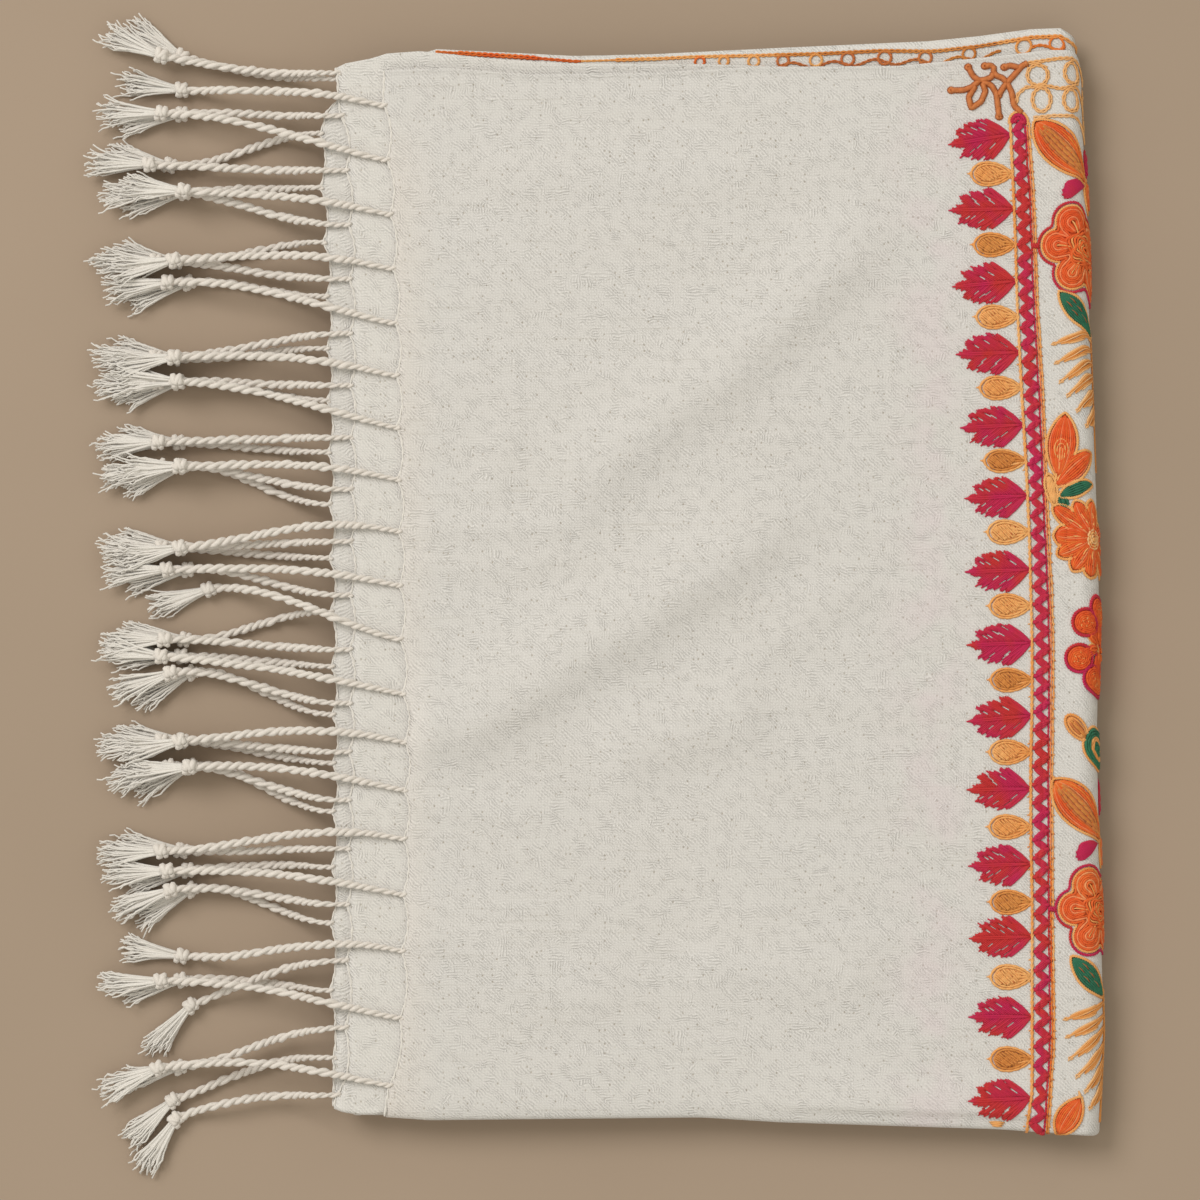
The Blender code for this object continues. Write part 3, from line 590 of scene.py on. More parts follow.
def second_place(column, row):
    """A point of the second stretch: its upper half to row 20, the long fold to row 21, then its
    lower half."""
    radius = 0.5 * (SECOND_Z - SECOND_LOW_Z)
    upper = row <= ROOTS + 1
    lower = row >= ROOTS + 2
    number = row - 1 if upper else 2 * ROOTS + 2 - row
    if not (upper or lower):
        number = ROOTS
    corner_x, corner_y = SECOND_BACK[0]
    shift = ROOT_SHIFTS[1 if upper else 2]
    end_y = row_y(number, shift, corner_y, second_front(corner_x) + radius)
    left = along(SECOND_END if upper else THIRD_END, end_y) + scallop(number)
    x = mix(left, SECOND_RIGHT, column)
    front = second_front(x) + radius
    if upper or lower:
        y = eased_row(end_y, x, left, lambda at: along(SECOND_BACK, at),
                      lambda at: second_front(at) + radius)
        if lower:
            y -= 2.5 * column * smooth_step((y + 170) / 340)
        flat_y = y if upper else 2 * front - math.pi * radius - y
        if lower:
            return Vector((x, y, SECOND_LOW_Z)), (x, flat_y)
        dip = BACK_DIP * math.exp(-(((y - along(TOP_BACK, x)) / BACK_DIP_WIDTH) ** 2))
        return Vector((x, y, SECOND_Z - dip * smooth_step((x + 112) / 8))), (x, flat_y)
    turn = math.pi * (row - ROOTS - 1)
    z = SECOND_LOW_Z + radius * (1 + math.cos(turn))
    return Vector((x, front - radius * math.sin(turn), z)), (x, front - radius * turn)


def inner_place(column, row):
    """A point of the embroidered stretch: column 1 is the start of its fold, row 1 its front."""
    rough_y = mix(*INNER_ENDS, row)
    centre = along(TOP_RIGHT, rough_y) - INNER_FOLD_SIDE - INNER_FOLD_DEEP
    fold_run = 0.5 * math.pi * (INNER_FOLD_DEEP + 0.5 * (INNER_Z - INNER_LOW_Z))
    reach = mix(INNER_LEFT, centre, column) if column <= 1 else centre + fold_run * (column - 1)
    spot = inner_skin(reach, 0.0)
    front = along(TOP_FRONT, spot.x) + INNER_FRONT_INSET
    spot.y = mix(spot.y, front, row)
    return spot, (reach, spot.y)


def cloth(name, node, columns, rows, place, thickness, finish):
    """A sheet of cloth: a grid on the cuts, placed by place(column, row), then given its
    thickness."""
    bm = bmesh.new()
    bmesh.ops.create_grid(bm, x_segments=len(columns) - 1, y_segments=len(rows) - 1, size=0.5)
    bmesh.ops.translate(bm, vec=(0.5, 0.5, 0.0), verts=bm.verts)
    bmesh.ops.scale(bm, vec=(len(columns) - 1, len(rows) - 1, 1.0), verts=bm.verts)
    flat = {}
    for vert in bm.verts:
        vert.co, flat[vert] = place(columns[round(vert.co.x)], rows[round(vert.co.y)])
    weave_places(bm, flat.get)
    bmesh.ops.reverse_faces(bm, faces=bm.faces)
    piece = finish_piece(name, bm, finish, node)
    shell = piece.modifiers.new("thickness", "SOLIDIFY")
    shell.thickness = thickness * MM
    shell.offset = -1.0
    return piece


def make_cloths():
    last = ROOTS + 1
    top = cloth("top_cloth", "top_stretch",
                cuts((0, 1, 5), (1, 2, 120), (2, 3, 26), (3, 4, 24), (4, 5, 8)),
                cuts((-1, -0.8, 5), (-0.8, ROOTS, 9 * last), (ROOTS, last, 8)),
                top_place, TOP_THICK, WOOL)
    second = cloth("second_cloth", "second_stretch", cuts((0, 0.16, 14), (0.16, 1, 24)),
                   cuts((0, 0.5, 12), (0.5, last, 6 * last), (last, last + 1, 8),
                        (last + 1, 2 * last + 1, 6 * last)),
                   second_place, SECOND_THICK, PAINTED_LIGHT_WOOL)
    inner = cloth("embroidered_cloth", "embroidered_stretch", cuts((0, 1, 70), (1, 2, 18)),
                  cuts((0, 0.08, 10), (0.08, 1, 20)), inner_place, INNER_THICK, PAINTED_LIGHT_WOOL)
    return top, second, inner


# The hidden layers: their plan's corners, and how far their sides lie inside the cloth that wraps
# them.
CORE_SIZE = (245.0, 350.0)
CORE_CORNER = 10.0
CORE_CORNER_POINTS = 6
CORE_SIDE_POINTS = 24
CORE_ENDS = (-175.0, 172.0)
UNDER_FOLD_TOP = 2 * UNDER_FOLD_RADIUS + 0.3
CORE_LEFT_UPPER = -126.0
CORE_LEFT_LOWER = UNDER_FOLD_X + 2.0
CORE_RIGHT_UPPER = INNER_FOLD_SIDE + INNER_FOLD_DEEP - 1.0
CORE_RIGHT_LOWER = INNER_FOLD_SIDE + INNER_FOLD_DEEP + 2.0
SELVEDGE_STEPS = (0.0, 0.9, 1.8, 0.45, 1.35)
LAYER_ROUND = ((0.0, 0.55), (0.12, 0.2), (0.5, 0.0), (0.88, 0.2))


def bulge(height, low, high, depth):
    """How far a folded layer's rounded edge draws in, at a height between its two faces."""
    middle = 0.5 * (low + high)
    share = min(abs(height - middle) / (0.5 * (high - low)), 1.0)
    return depth * (1.0 - math.sqrt(1.0 - share * share))


def core_sides(z, layer):
    """The hidden layers' left side, then their right, front and back insets, at a height."""
    low = z < UNDER_FOLD_TOP
    drawn = bulge(z, UNDER_FOLD_TOP, CORE_Z[1], 1.3)
    left = CORE_LEFT_LOWER + bulge(z, 0.0, UNDER_FOLD_TOP, 2.0) if low else CORE_LEFT_UPPER + drawn
    right = CORE_RIGHT_LOWER
    if z > INNER_LOW_Z + INNER_THICK + 0.6:
        right = CORE_RIGHT_UPPER + bulge(z, 3.2, CORE_Z[1] + 0.4, 3.0)
    front = 2.1
    if z > LIP_DEPTH + 0.3:
        front = 0.5 + (bulge(z, LIP_DEPTH, UNDER_FOLD_TOP, 1.3) if low else drawn)
    return left, right, front, 4.5 + SELVEDGE_STEPS[layer % len(SELVEDGE_STEPS)]


def core_outline():
    """Shares of the way across and along, once round: rounded corners and straight sides."""
    round_x, round_y = (CORE_CORNER / size for size in CORE_SIZE)
    corners = []
    for number, (across, up) in enumerate(((1, 1), (0, 1), (0, 0), (1, 0))):
        centre = Vector((abs(across - round_x), abs(up - round_y)))
        start = 0.5 * math.pi * number
        corners.append([centre + Vector(spot) for spot in
                        arc(round_x, round_y, start, start + 0.5 * math.pi, CORE_CORNER_POINTS)])
    points = []
    for corner, following in zip(corners, corners[1:] + corners[:1]):
        points += corner
        points += [corner[-1].lerp(following[0], step / CORE_SIDE_POINTS)
                   for step in range(1, CORE_SIDE_POINTS)]
    return points


def make_hidden_cloth():
    """The layers between, their folds and selvedges showing one above the other at the edges."""
    bm = bmesh.new()
    thick = (CORE_Z[1] - CORE_Z[0]) / CORE_LAYERS
    levels = [(CORE_Z[0] + thick * (layer + share), layer, draw)
              for layer in range(CORE_LAYERS) for share, draw in LAYER_ROUND]
    levels.append((CORE_Z[1], CORE_LAYERS - 1, 0.55))
    outline = core_outline()
    loops = []
    for z, layer, draw in levels:
        left, right, front, back = core_sides(z, layer)
        ring = []
        for across, up in outline:
            x = mix(left + draw, along(TOP_RIGHT, mix(*CORE_ENDS, up)) - right - draw, across)
            uneven = 0.4 * noise.noise(Vector((x * 0.06, layer * 3.0, 0.0)))
            back_y = along(INNER_BACK, x) - back - draw + uneven
            ring.append(bm.verts.new((x, mix(along(TOP_FRONT, x) + front + draw, back_y, up), z)))
        loops.append([bm.edges.new((vert, ring[i - 1])) for i, vert in enumerate(ring)])
    for lower, upper in zip(loops, loops[1:]):
        bmesh.ops.bridge_loops(bm, edges=lower + upper)
    bmesh.ops.contextual_create(bm, geom=loops[0])
    bmesh.ops.contextual_create(bm, geom=loops[-1])
    bmesh.ops.recalc_face_normals(bm, faces=bm.faces)
    weave_places(bm, lambda vert: (vert.co.x + vert.co.y, vert.co.z * 2.0))
    return finish_piece("hidden_cloth", bm, PAINTED_LIGHT_WOOL, "hidden_layers")


# ---------------------------------------------------------------- yarn

def even_steps(path, step):
    """A path cut into even steps: each spot with its direction."""
    path = [Vector(point) for point in path]
    lengths = [0.0]
    for before, after in zip(path, path[1:]):
        lengths.append(lengths[-1] + (after - before).length)
    parts = max(round(lengths[-1] / step), 2)
    spots = []
    number = 0
    for part in range(parts + 1):
        target = lengths[-1] * part / parts
        while number < len(path) - 2 and lengths[number + 1] < target:
            number += 1
        run = lengths[number + 1] - lengths[number]
        share = (target - lengths[number]) / run if run else 0.0
        spots.append(path[number].lerp(path[number + 1], share))
    return [(spot, (spots[min(number + 1, parts)] - spots[max(number - 1, 0)]).normalized())
            for number, spot in enumerate(spots)]


def strands_mesh(strands, sides=4, bm=None):
    """Round strands as one bmesh, or added to one: each strand is a list of (point, radius)."""
    curve = bpy.data.curves.new("strands", "CURVE")
    curve.dimensions = "3D"
    curve.bevel_depth = 1.0
    curve.bevel_resolution = (sides - 4) // 2
    curve.use_fill_caps = True
    curve.twist_mode = "MINIMUM"
    for strand in strands:
        spline = curve.splines.new("POLY")
        spline.points.add(len(strand) - 1)
        for point, (spot, radius) in zip(spline.points, strand):
            point.co = (*spot, 1.0)
            point.radius = radius
    holder = bpy.data.objects.new("strands", curve)
    mesh = bpy.data.meshes.new_from_object(holder)
    bpy.data.objects.remove(holder)
    bpy.data.curves.remove(curve)
    bm = bm or bmesh.new()
    bm.from_mesh(mesh)
    bpy.data.meshes.remove(mesh)
    bmesh.ops.remove_doubles(bm, verts=bm.verts, dist=1e-4)
    bmesh.ops.recalc_face_normals(bm, faces=bm.faces)
    return bm


# How far from the line plies lie, in their radius, how uneven they are and how loosely they turn.
PLY_OUT = 0.78
PLY_UNEVEN = 0.3
PLY_SLACK = 1.6


def plied(line, thickness, lay, plies=2, start=0.0):
    """Twisted plies about a line: thickness(distance) gives a ply's radius and lay(distance) its
    turn's length."""
    found = [[] for _ in range(plies)]
    distance = 0.0
    turned = start
    before = line[0][0]
    for spot, ahead in line:
        step = (spot - before).length
        distance += step
        turned += 2 * math.pi * step / lay(distance)
        before = spot
        side = ahead.cross(Vector((0, 0, 1))).normalized()
        up = side.cross(ahead)
        slack = noise.noise(Vector((distance * 0.12, start, 5.0)))
        for number, ply in enumerate(found):
            swell = noise.noise(Vector((distance * 0.3, start, 9.0 * number)))
            radius = thickness(distance) * (1 + PLY_UNEVEN * swell)
            turn = turned + 2 * math.pi * number / plies + PLY_SLACK * slack
            out = side * math.cos(turn) + up * math.sin(turn)
            ply.append((spot + out * radius * PLY_OUT, radius))
    return found


# ---------------------------------------------------------------- the fringe

ROOT_LAY = 5.4
CORD_LAY = 7.3
PLY_RADIUS = 0.84
ROOT_PLY_RADIUS = 0.52
EDGE_LAY = 7.0
EDGE_PLY_RADIUS = 0.31
KNOT_STEPS = 16
KNOT_START = 2.2
TASSEL_THREADS = 36
TASSEL_LENGTH = 19.4
TASSEL_STEPS = 14
THREAD_RADIUS = 0.42
KINK_HOLD = 0.78


def cord_ply_radius(far):
    return mix(ROOT_PLY_RADIUS, PLY_RADIUS, smooth_step(far / 24))


def cord_lay(far):
    return mix(ROOT_LAY, CORD_LAY, smooth_step(far / 40))


def row_roots(row):
    return [root_y(number) + ROOT_SHIFTS[row] for number in range(ROOTS)]


def root_places(row):
    return [SECOND_EXTRA_ROOT] * (row == 1) + row_roots(row)


def end_x(row, y):
    """Where a row's scalloped end lies at y."""
    for low, (start, end) in enumerate(zip(row_roots(row), row_roots(row)[1:])):
        if start >= y > end:
            return along(ENDS[row], y) + scallop(low + (start - y) / (start - end))
    return along(ENDS[row], y)


def knots_by_row():
    """For each row, its cords' knots, back to front: x, y, angle and how many tassels already lie
    under each."""
    found = ([], [], [])
    for knots, *runs in BUNCHES:
        piled = [0] * len(knots)
        for row in (2, 1, 0):
            for place in (int(letter) for letter in runs[row]):
                x, y, angle = knots[place]
                level = piled[place]
                piled[place] += 1
                lean = angle + PILE_LEAN * level * (1 if place == 0 else -1)
                found[row].append((x + PILE_SHIFT[level], y, lean, level))
    return found


def cord_line(row, root, knot):
    """The middle of a cord from inside the cloth's end to its knot, in even steps."""
    knot_x, knot_y, lean, level = knot
    bend = KNOT_BEND * math.radians(lean)
    edge = end_x(row, root)
    first = Vector((edge - 0.8, root))
    last = Vector((knot_x, knot_y))
    run = first.x - knot_x
    handles = (first, first + Vector((-ROOT_RUN * run, FIRST_RISE[row])),
               last + Vector((math.cos(bend), -math.sin(bend))) * KNOT_RUN * run, last)
    knot_z = FLOOR_GAP + KNOT_HALF + PILE_STEP * level
    path = [Vector((edge + 1.2, root, END_HEIGHTS[row] + 0.2))]
    for step in range(CORD_STEPS + 1):
        share = step / CORD_STEPS
        rest = 1 - share
        weights = (rest ** 3, 3 * share * rest ** 2, 3 * share * share * rest, share ** 3)
        spot = sum((handle * weight for handle, weight in zip(handles, weights)), Vector((0, 0)))
        settle = smooth_step((knot_x + SETTLE_RUN - spot.x) / SETTLE_RUN)
        height = mix(along(DROPS[row], spot.x), knot_z, settle)
        height = mix(END_HEIGHTS[row] + 0.2, height, smooth_step(share * 9))
        path.append(Vector((spot.x, spot.y, height)))
    return even_steps(path, ROOT_LAY / 10)


def knot_turns(middle, ahead, chance):
    """The turns of a knot: two fat loops side by side, a third that crosses them, and the yarn
    inside."""
    side = ahead.cross(Vector((0, 0, 1))).normalized()
    up = side.cross(ahead)
    slant = chance.uniform(0.5, 0.85) * chance.choice((-1, 1))
    found = []
    turns = ((-0.95, 0.8 * slant, 1.5, 1.12), (0.9, 0.8 * slant, 1.55, 1.18),
             (0.0, -1.5 * slant, 1.85, 1.0))
    for shift, tilt, reach, radius in turns:
        loop = []
        for step in range(KNOT_STEPS + 1):
            turn = 2 * math.pi * step / KNOT_STEPS + KNOT_START
            out = side * math.cos(turn) + up * math.sin(turn) * 0.86
            swell = radius * (1 + 0.08 * math.sin(2 * turn + shift))
            loop.append((middle + ahead * (shift + tilt * math.cos(turn)) + out * reach, swell))
        found.append(loop)
    inside = ((-2.8, 0.9), (-1, 1.7), (1, 1.7), (2.8, 0.9))
    found.append([(middle + ahead * place, radius) for place, radius in inside])
    return found


def tassel_threads(middle, ahead, level, chance):
    """The loose threads past a knot: they fan out, sink on to what lies below and end in kinks."""
    side = ahead.cross(Vector((0, 0, 1))).normalized()
    threads = []
    rest_z = FLOOR_GAP + 2.3 * level
    for number in range(TASSEL_THREADS):
        spread = 2.0 * (number + chance.random()) / TASSEL_THREADS - 1.0
        rise = chance.uniform(-1.0, 1.0)
        length = TASSEL_LENGTH * chance.uniform(0.8, 1.08) * (1.0 - 0.1 * spread * spread)
        half_width = chance.uniform(3.8, 5.3)
        if number % 17 == 5:
            length *= 1.12
            half_width *= 1.6
        kink = Vector((0, 0, 0))
        thread = []
        for step in range(TASSEL_STEPS + 1):
            share = step / TASSEL_STEPS
            sway = Vector((0, chance.uniform(-1, 1), chance.uniform(-1, 1)))
            kink += sway * (0.1 + share ** 3)
            kink *= KINK_HOLD
            across = spread * mix(1.0, half_width, share ** 1.25) + kink.y * share
            spot = middle + ahead * (1.6 + length * share) + side * across
            low = rest_z + 0.35 + 1.35 * (rise + 1.0)
            z = mix(middle.z + rise, low, smooth_step(share * 1.5))
            spot.z = max(z + 0.7 * kink.z * share, FLOOR_GAP + 0.25)
            thread.append((spot, THREAD_RADIUS * (1.0 - 0.45 * share * share)))
        threads.append(thread)
    return threads


def edge_twist(row):
    """The fine twisted thread that binds a scalloped end."""
    path = []
    first, last = ENDS[row][-1][0], ENDS[row][0][0]
    parts = round((first - last) / 0.9)
    for step in range(parts + 1):
        y = mix(first - 0.5, last + 0.5, step / parts)
        path.append(Vector((end_x(row, y) - 0.2, y, END_HEIGHTS[row] + 0.25)))
    return plied(even_steps(path, 0.8), lambda _: EDGE_PLY_RADIUS, lambda _: EDGE_LAY)


def make_fringe():
    chance = random.Random(11)
    made = []
    for row, (name, knots) in enumerate(zip(("top", "second", "third"), knots_by_row())):
        cords = []
        threads = []
        for root, knot in zip(root_places(row), knots):
            line = cord_line(row, root, knot)
            cords += plied(line, cord_ply_radius, cord_lay, start=chance.uniform(0, 6))
            x, y, lean, level = knot
            lean = math.radians(lean)
            ahead = Vector((-math.cos(lean), math.sin(lean), 0.0))
            middle = Vector((x, y, FLOOR_GAP + KNOT_HALF + 0.25 + PILE_STEP * level))
            cords += knot_turns(middle, ahead, chance)
            threads += tassel_threads(middle, ahead, level, chance)
        made.append((
            finish_piece(name + "_cords", strands_mesh(cords, 6), CORD,
                         name + "_fringe"),
            finish_piece(name + "_tassels", strands_mesh(threads), TASSEL),
            finish_piece(name + "_edge_thread", strands_mesh(edge_twist(row)), TASSEL),
        ))
    return made


# ---------------------------------------------------------------- embroidery

# The band between two lines of chain stitch: each line's place along the stole at y.
BAND_LEFT = ((-176.6, 101.3), (-165, 103), (-102.3, 103), (-85.8, 102.6), (-59.4, 102.5),
             (-36.3, 103), (-16.5, 103), (-3.3, 102.6), (19.8, 102), (41.3, 101), (62.7, 99.7),
             (95.7, 98), (117.2, 97.4), (133.7, 96.7), (155.8, 95.7))
BAND_RIGHT = ((-178.2, 107.9), (-148.5, 109.9), (-112.2, 109.4), (-59.4, 109.2), (-23.1, 109.6),
              (-3.3, 109.2), (23.1, 107.9), (62.7, 106.3), (95.7, 104.3), (128.7, 103.2),
              (155.8, 101.3))
BAND_ENDS = (154.2, -180.0)
# How long one turn of the zigzag is at y.
ZIGZAG_PITCHES = ((-180, 6.4), (0, 5.85), (156, 5.3))
LEAF_ROWS = (149.8, 125.4, 101.5, 78.0, 54.1, 30.7, 6.3, -17.8, -41.9, -66.0, -90.8, -114.8, -141.2,
             -168.0)
LEAF_TILTS = (9, 2, 4, 1, 2, 3, 1, 3, 4, 0, 3, 2, 1, 2)
POD_ROWS = (137.3, 113.9, 90.1, 66.7, 42.6, 19.1, -5.3, -29.7, -53.5, -78.2, -103.0, -127.7, -154.8)
POD_DARK = (0, 1, 0, 0, 1, 0, 0, 1, 0, 0, 1, 0, 1)

# What grows right of the band: its place past the band's right line, its y and its angle come
# first. Leaves and petals go on with their outline's, filling's and heart's yarns, then length,
# width, how pointed each is and how far ahead of its middle it is widest.
GROWTH = (
    (10.7, 145.5, -46, "gold orange ochre", 26, 12.4, 0.6, -0.12),
    (9.4, -72.1, -48, "gold orange ochre", 26, 12.4, 0.6, -0.12),
    (22.6, 148.0, 84, "crimson crimson crimson", 10, 4.2, 0.5, 0.0),
    (21.4, 136.0, 86, "gold orange orange", 12, 6.0, 0.5, 0.0),
    (21.6, -66.0, 86, "crimson crimson crimson", 12, 4.2, 0.5, 0.0),
    (20.6, -84.5, 88, "gold orange orange", 11, 4.6, 0.5, 0.0),
    (13.4, 92.3, -46, "gold green green", 17.6, 7.2, 0.6, 0.0),
    (12.3, -127.5, -48, "gold green green", 18, 7.6, 0.6, 0.0),
    (5.7, 29.2, -50, "green green green", 3.8, 2.4, 0.4, 0.0),
    (9.6, 40.2, 44, "gold orange orange", 17.5, 8.2, 0.85, 0.0),
    (5.9, 47.6, 84, "gold orange orange", 22.0, 10.2, 0.7, 0.05),
    (10.2, 33.4, 22, "gold green green", 13.0, 5.2, 0.8, 0.0),
    (7.0, -173.6, 58, "gold orange orange", 15.2, 8.4, 0.8, -0.08),
    (8.4, -45.4, -50, "gold gold ochre", 10.2, 5.3, 0.1, -0.1),
    (1.9, 33.0, -78, "gold gold gold", 11, 4.0, 0.5, -0.2),
)
# The curls inside the tallest petal.
CURLS = (5.6, 46.4, 88)
# Each fern: its stem's place, top and bottom, then its fronds: the base's y, then the tip's place
# past the band's line and its y.
FERNS = (
    (21.0, 90.0, 44.0, ((88.0, 4.3, 80.9), (84.0, 4.9, 74.6), (80.5, 6.0, 68.3), (76.3, 8.2, 63.7),
                        (71.6, 11.2, 58.7), (66.7, 14.4, 53.8))),
    (19.9, -131.0, -176.0, ((-135.3, 3.6, -141.9), (-139.3, 4.2, -147.8), (-142.8, 5.6, -155.1),
                            (-148.0, 8.4, -161.0), (-153.5, 11.6, -166), (-160.4, 13.6, -171.6))),
)
BUDS = ((18.1, 135.4, 210), (16.1, -83.0, 210))
BLOOMS = ((17.0, 113.2, 0), (17.0, -105.6, 0))
# The large flower's lobes: angle, distance from its middle and radius.
BLOOM_LOBES = ((118, 9.2, 6.7), (177, 9.2, 6.5), (242, 9.8, 6.3), (300, 8.6, 6.0), (0, 8.6, 6.0),
               (58, 8.6, 6.0))
BLOOM_FLOOR = 8.5
# The daisy, with the angle, length and width of each petal, and the round flower, with the angle,
# distance and radius of each.
DAISY = (15.2, 17.2, 0, ((48, 10, 6.5), (4, 11, 7.0), (310, 11, 6.5), (91, 12.5, 5.4),
                         (117, 13.2, 5.8), (265, 12.6, 6.4), (237, 12.4, 6.6), (205, 12.8, 6.4),
                         (142, 16.6, 6.2), (176, 12.8, 8.4)))
ROUND_FLOWER = (17.1, -17.5, 0, ((40, 9.0, 4.6), (350, 9.5, 4.7), (305, 10.0, 4.6), (85, 12.2, 5.2),
                                 (130, 9.0, 4.5), (261, 11.6, 4.8), (212, 9.4, 4.6)))
SPIRAL = (17.2, -51.0, 0, 6.9)

# The branching sprig in the corner, and the loop border that starts from it.
SPRIG = (
    ((99.5, 157.4), (97, 159.8), (96.2, 164.3), (94.7, 167.4), (97.5, 170.4), (99.4, 172.8),
     (101.5, 173.9)),
    ((98.8, 172.2), (97.3, 172.7), (95.7, 173.1), (93.8, 172.5)),
    ((94.7, 167.4), (93.2, 169), (91.2, 169.7), (90.2, 170.9), (90.4, 172.4), (89.1, 173.3),
     (87.7, 172.7)),
    ((90.2, 170.6), (89.7, 169.2), (87.6, 168.4), (85.6, 168.1), (83.6, 169.4), (82.6, 171.2),
     (81.9, 172.5)),
    ((85.6, 168.1), (83.1, 165.9), (80.1, 164.9), (76.3, 164.9)),
    ((86.6, 167.3), (87.6, 164.6), (86.2, 161.2), (82.9, 158.9), (82.0, 162.6), (84.2, 166.3)),
    ((86.4, 167.5), (88.2, 167.2), (89.7, 166.4), (91.2, 163.8), (91.7, 159.8), (92.1, 156.2)),
    ((94.7, 167.4), (93.2, 165.4), (91.9, 163.2)),
)
SPRIG_ENDS = ((93.8, 172.5), (87.4, 172.9), (81.9, 172.5), (76.3, 164.9), (92.1, 156.2),
              (91.9, 163.2))
BORDER_TOP = ((101.5, 173.9), (105.8, 174.5), (111.9, 175.4), (119, 175.6), (132, 175))
BORDER_LOW = ((103.4, 155.8), (109.9, 156.5), (115.8, 156.5), (124, 155.6), (132, 156.2))
BORDER_WAVE = ((97.7, 160.6), (98.3, 163.6), (100.8, 165.8), (104.8, 166.3), (108.4, 166.3),
               (112.4, 165.4), (116, 166.2), (119.5, 167), (123, 165.4), (127, 166), (131, 166.5))
# Its loops, one above the other: place, y, half width and half height.
LOOPS = ((104.8, 169.9, 3.4, 3.4), (106.1, 161.8, 3.0, 3.9), (116.3, 170.8, 2.6, 3.4),
         (116, 161.8, 2.6, 3.6), (127, 170.4, 2.8, 3.4), (127, 161.8, 2.8, 3.6))

# The border on the stretch below: its chain line's inset from the selvedge, then the yarn, ends
# and width of each part of that line.
INNER_LINE = ((-95, 0.9), (-64.7, 1.3), (-47.9, 1.8), (-26, 1.6), (-7, 1.6), (13, 2.2), (33, 2.6),
              (53, 2.5), (72.5, 3.6), (85.8, 3.4), (103, 2.8), (128, 2.6))
INNER_LINES = (("flame", -94.0, -86.0, 1.0), ("flame", -86.5, -60.0, 1.7),
               ("flame", -60.5, -46.0, 1.15), ("gold", -46.5, -34.0, 0.8),
               ("gold", -34.5, -20.0, 1.4), ("gold", -20.5, 20.0, 1.25), ("ochre", 18.0, 94.0, 1.4),
               ("gold", 92.0, 121.0, 1.5))
# Its rings: place, yarn and radius.
RINGS = ((-6.6, "flame", 2.2), (1.3, "gold", 2.2), (11.2, "gold", 2.4), (20.9, "rust", 2.5),
         (31.8, "gold", 2.6), (42.3, "rust", 2.7), (54.5, "rust", 2.8), (67.9, "rust", 2.7),
         (82.4, "ochre", 2.7), (100.5, "gold", 3.1), (111.4, "flame", 2.9))
# Its wavy lines: yarn and ends.
INNER_WAVES = (("gold", -60.0, -10.0), ("rust", 14.0, 72.0), ("ochre", 74.0, 93.0),
               ("flame", 103.0, 116.0))


def flat_path(path, step):
    """A flat path cut into even steps."""
    return even_steps([(x, y, 0.0) for x, y in path], step)


def chain(path, width, link=2.0):
    """Chain stitch: two strands that part and meet again at every stitch."""
    found = [[], []]
    radius = 0.24 * width
    for number, (spot, ahead) in enumerate(flat_path(path, link / 4)):
        side = Vector((-ahead.y, ahead.x, 0.0))
        part = (0.10, 0.25, 0.28, 0.20)[number % 4] * width
        height = Vector((0, 0, radius * (0.75, 0.95, 1.0, 0.95)[number % 4]))
        for sign, strand in zip((1, -1), found):
            strand.append((spot + side * part * sign + height, radius))
    return found


def cord_stitch(path, width, lay=1.7):
    """A corded line: two strands laid over each other in turn, close and solid."""
    found = [[], []]
    for number, (spot, ahead) in enumerate(flat_path(path, lay / 4)):
        side = Vector((-ahead.y, ahead.x, 0.0))
        for start, strand in zip((0.0, math.pi), found):
            turn = 0.5 * math.pi * number + start
            offset = side * 0.23 * width * math.cos(turn)
            height = Vector((0, 0, 0.22 * width + 0.08 * width * math.sin(turn)))
            strand.append((spot + offset + height, 0.29 * width))
    return found


def laid(path, width, height=0.0, stitch=3.3):
    """A strand laid along a path in short stitches, thinner where each one goes into the cloth."""
    found = []
    for number, (spot, _) in enumerate(flat_path(path, stitch / 4)):
        full = (0.74, 1.0, 1.04, 1.0)[number % 4]
        above = Vector((0, 0, (0.38 * full - 0.1) * width + height))
        found.append((spot + above, 0.53 * width * full))
    return [found]


def stroke(path, width, height=0.0, ends=0.4):
    """One long stitch, thinner at both ends."""
    spots = flat_path(path, 1.6)
    above = Vector((0, 0, 0.32 * width + height))
    return [[(spot + above, 0.55 * width * (ends if number in (0, len(spots) - 1) else 1.0))
             for number, (spot, _) in enumerate(spots)]]


def placed(points, centre, angle):
    """A shape's points turned about its own middle and moved to its place."""
    turn = Matrix.Rotation(math.radians(angle), 2)
    return [turn @ Vector(point) + Vector(centre) for point in points]


def polar(distance, degrees):
    """A spot at a distance and an angle from the middle."""
    turn = math.radians(degrees)
    return distance * Vector((math.cos(turn), math.sin(turn)))


def arc(wide, tall, first, last, parts):
    """Points round an oval between two turns, in radians."""
    turns = (mix(first, last, step / parts) for step in range(parts + 1))
    return [(wide * math.cos(turn), tall * math.sin(turn)) for turn in turns]


def almond(length, width, point=0.0, lean=0.0, parts=28):
    """A closed leaf outline: an oval when point is 0, sharp when it is 1. Its widest place lies
    ahead of its middle by lean."""
    found = []
    for ahead, high in arc(1.0, 1.0, 0.0, 2 * math.pi, parts):
        ahead += lean * (1 - ahead * ahead)
        found.append((0.5 * length * ahead, 0.5 * width * high * abs(high) ** point))
    return found


def disc(radius):
    return almond(2 * radius, 2 * radius)


LOBE_POINTS = 72


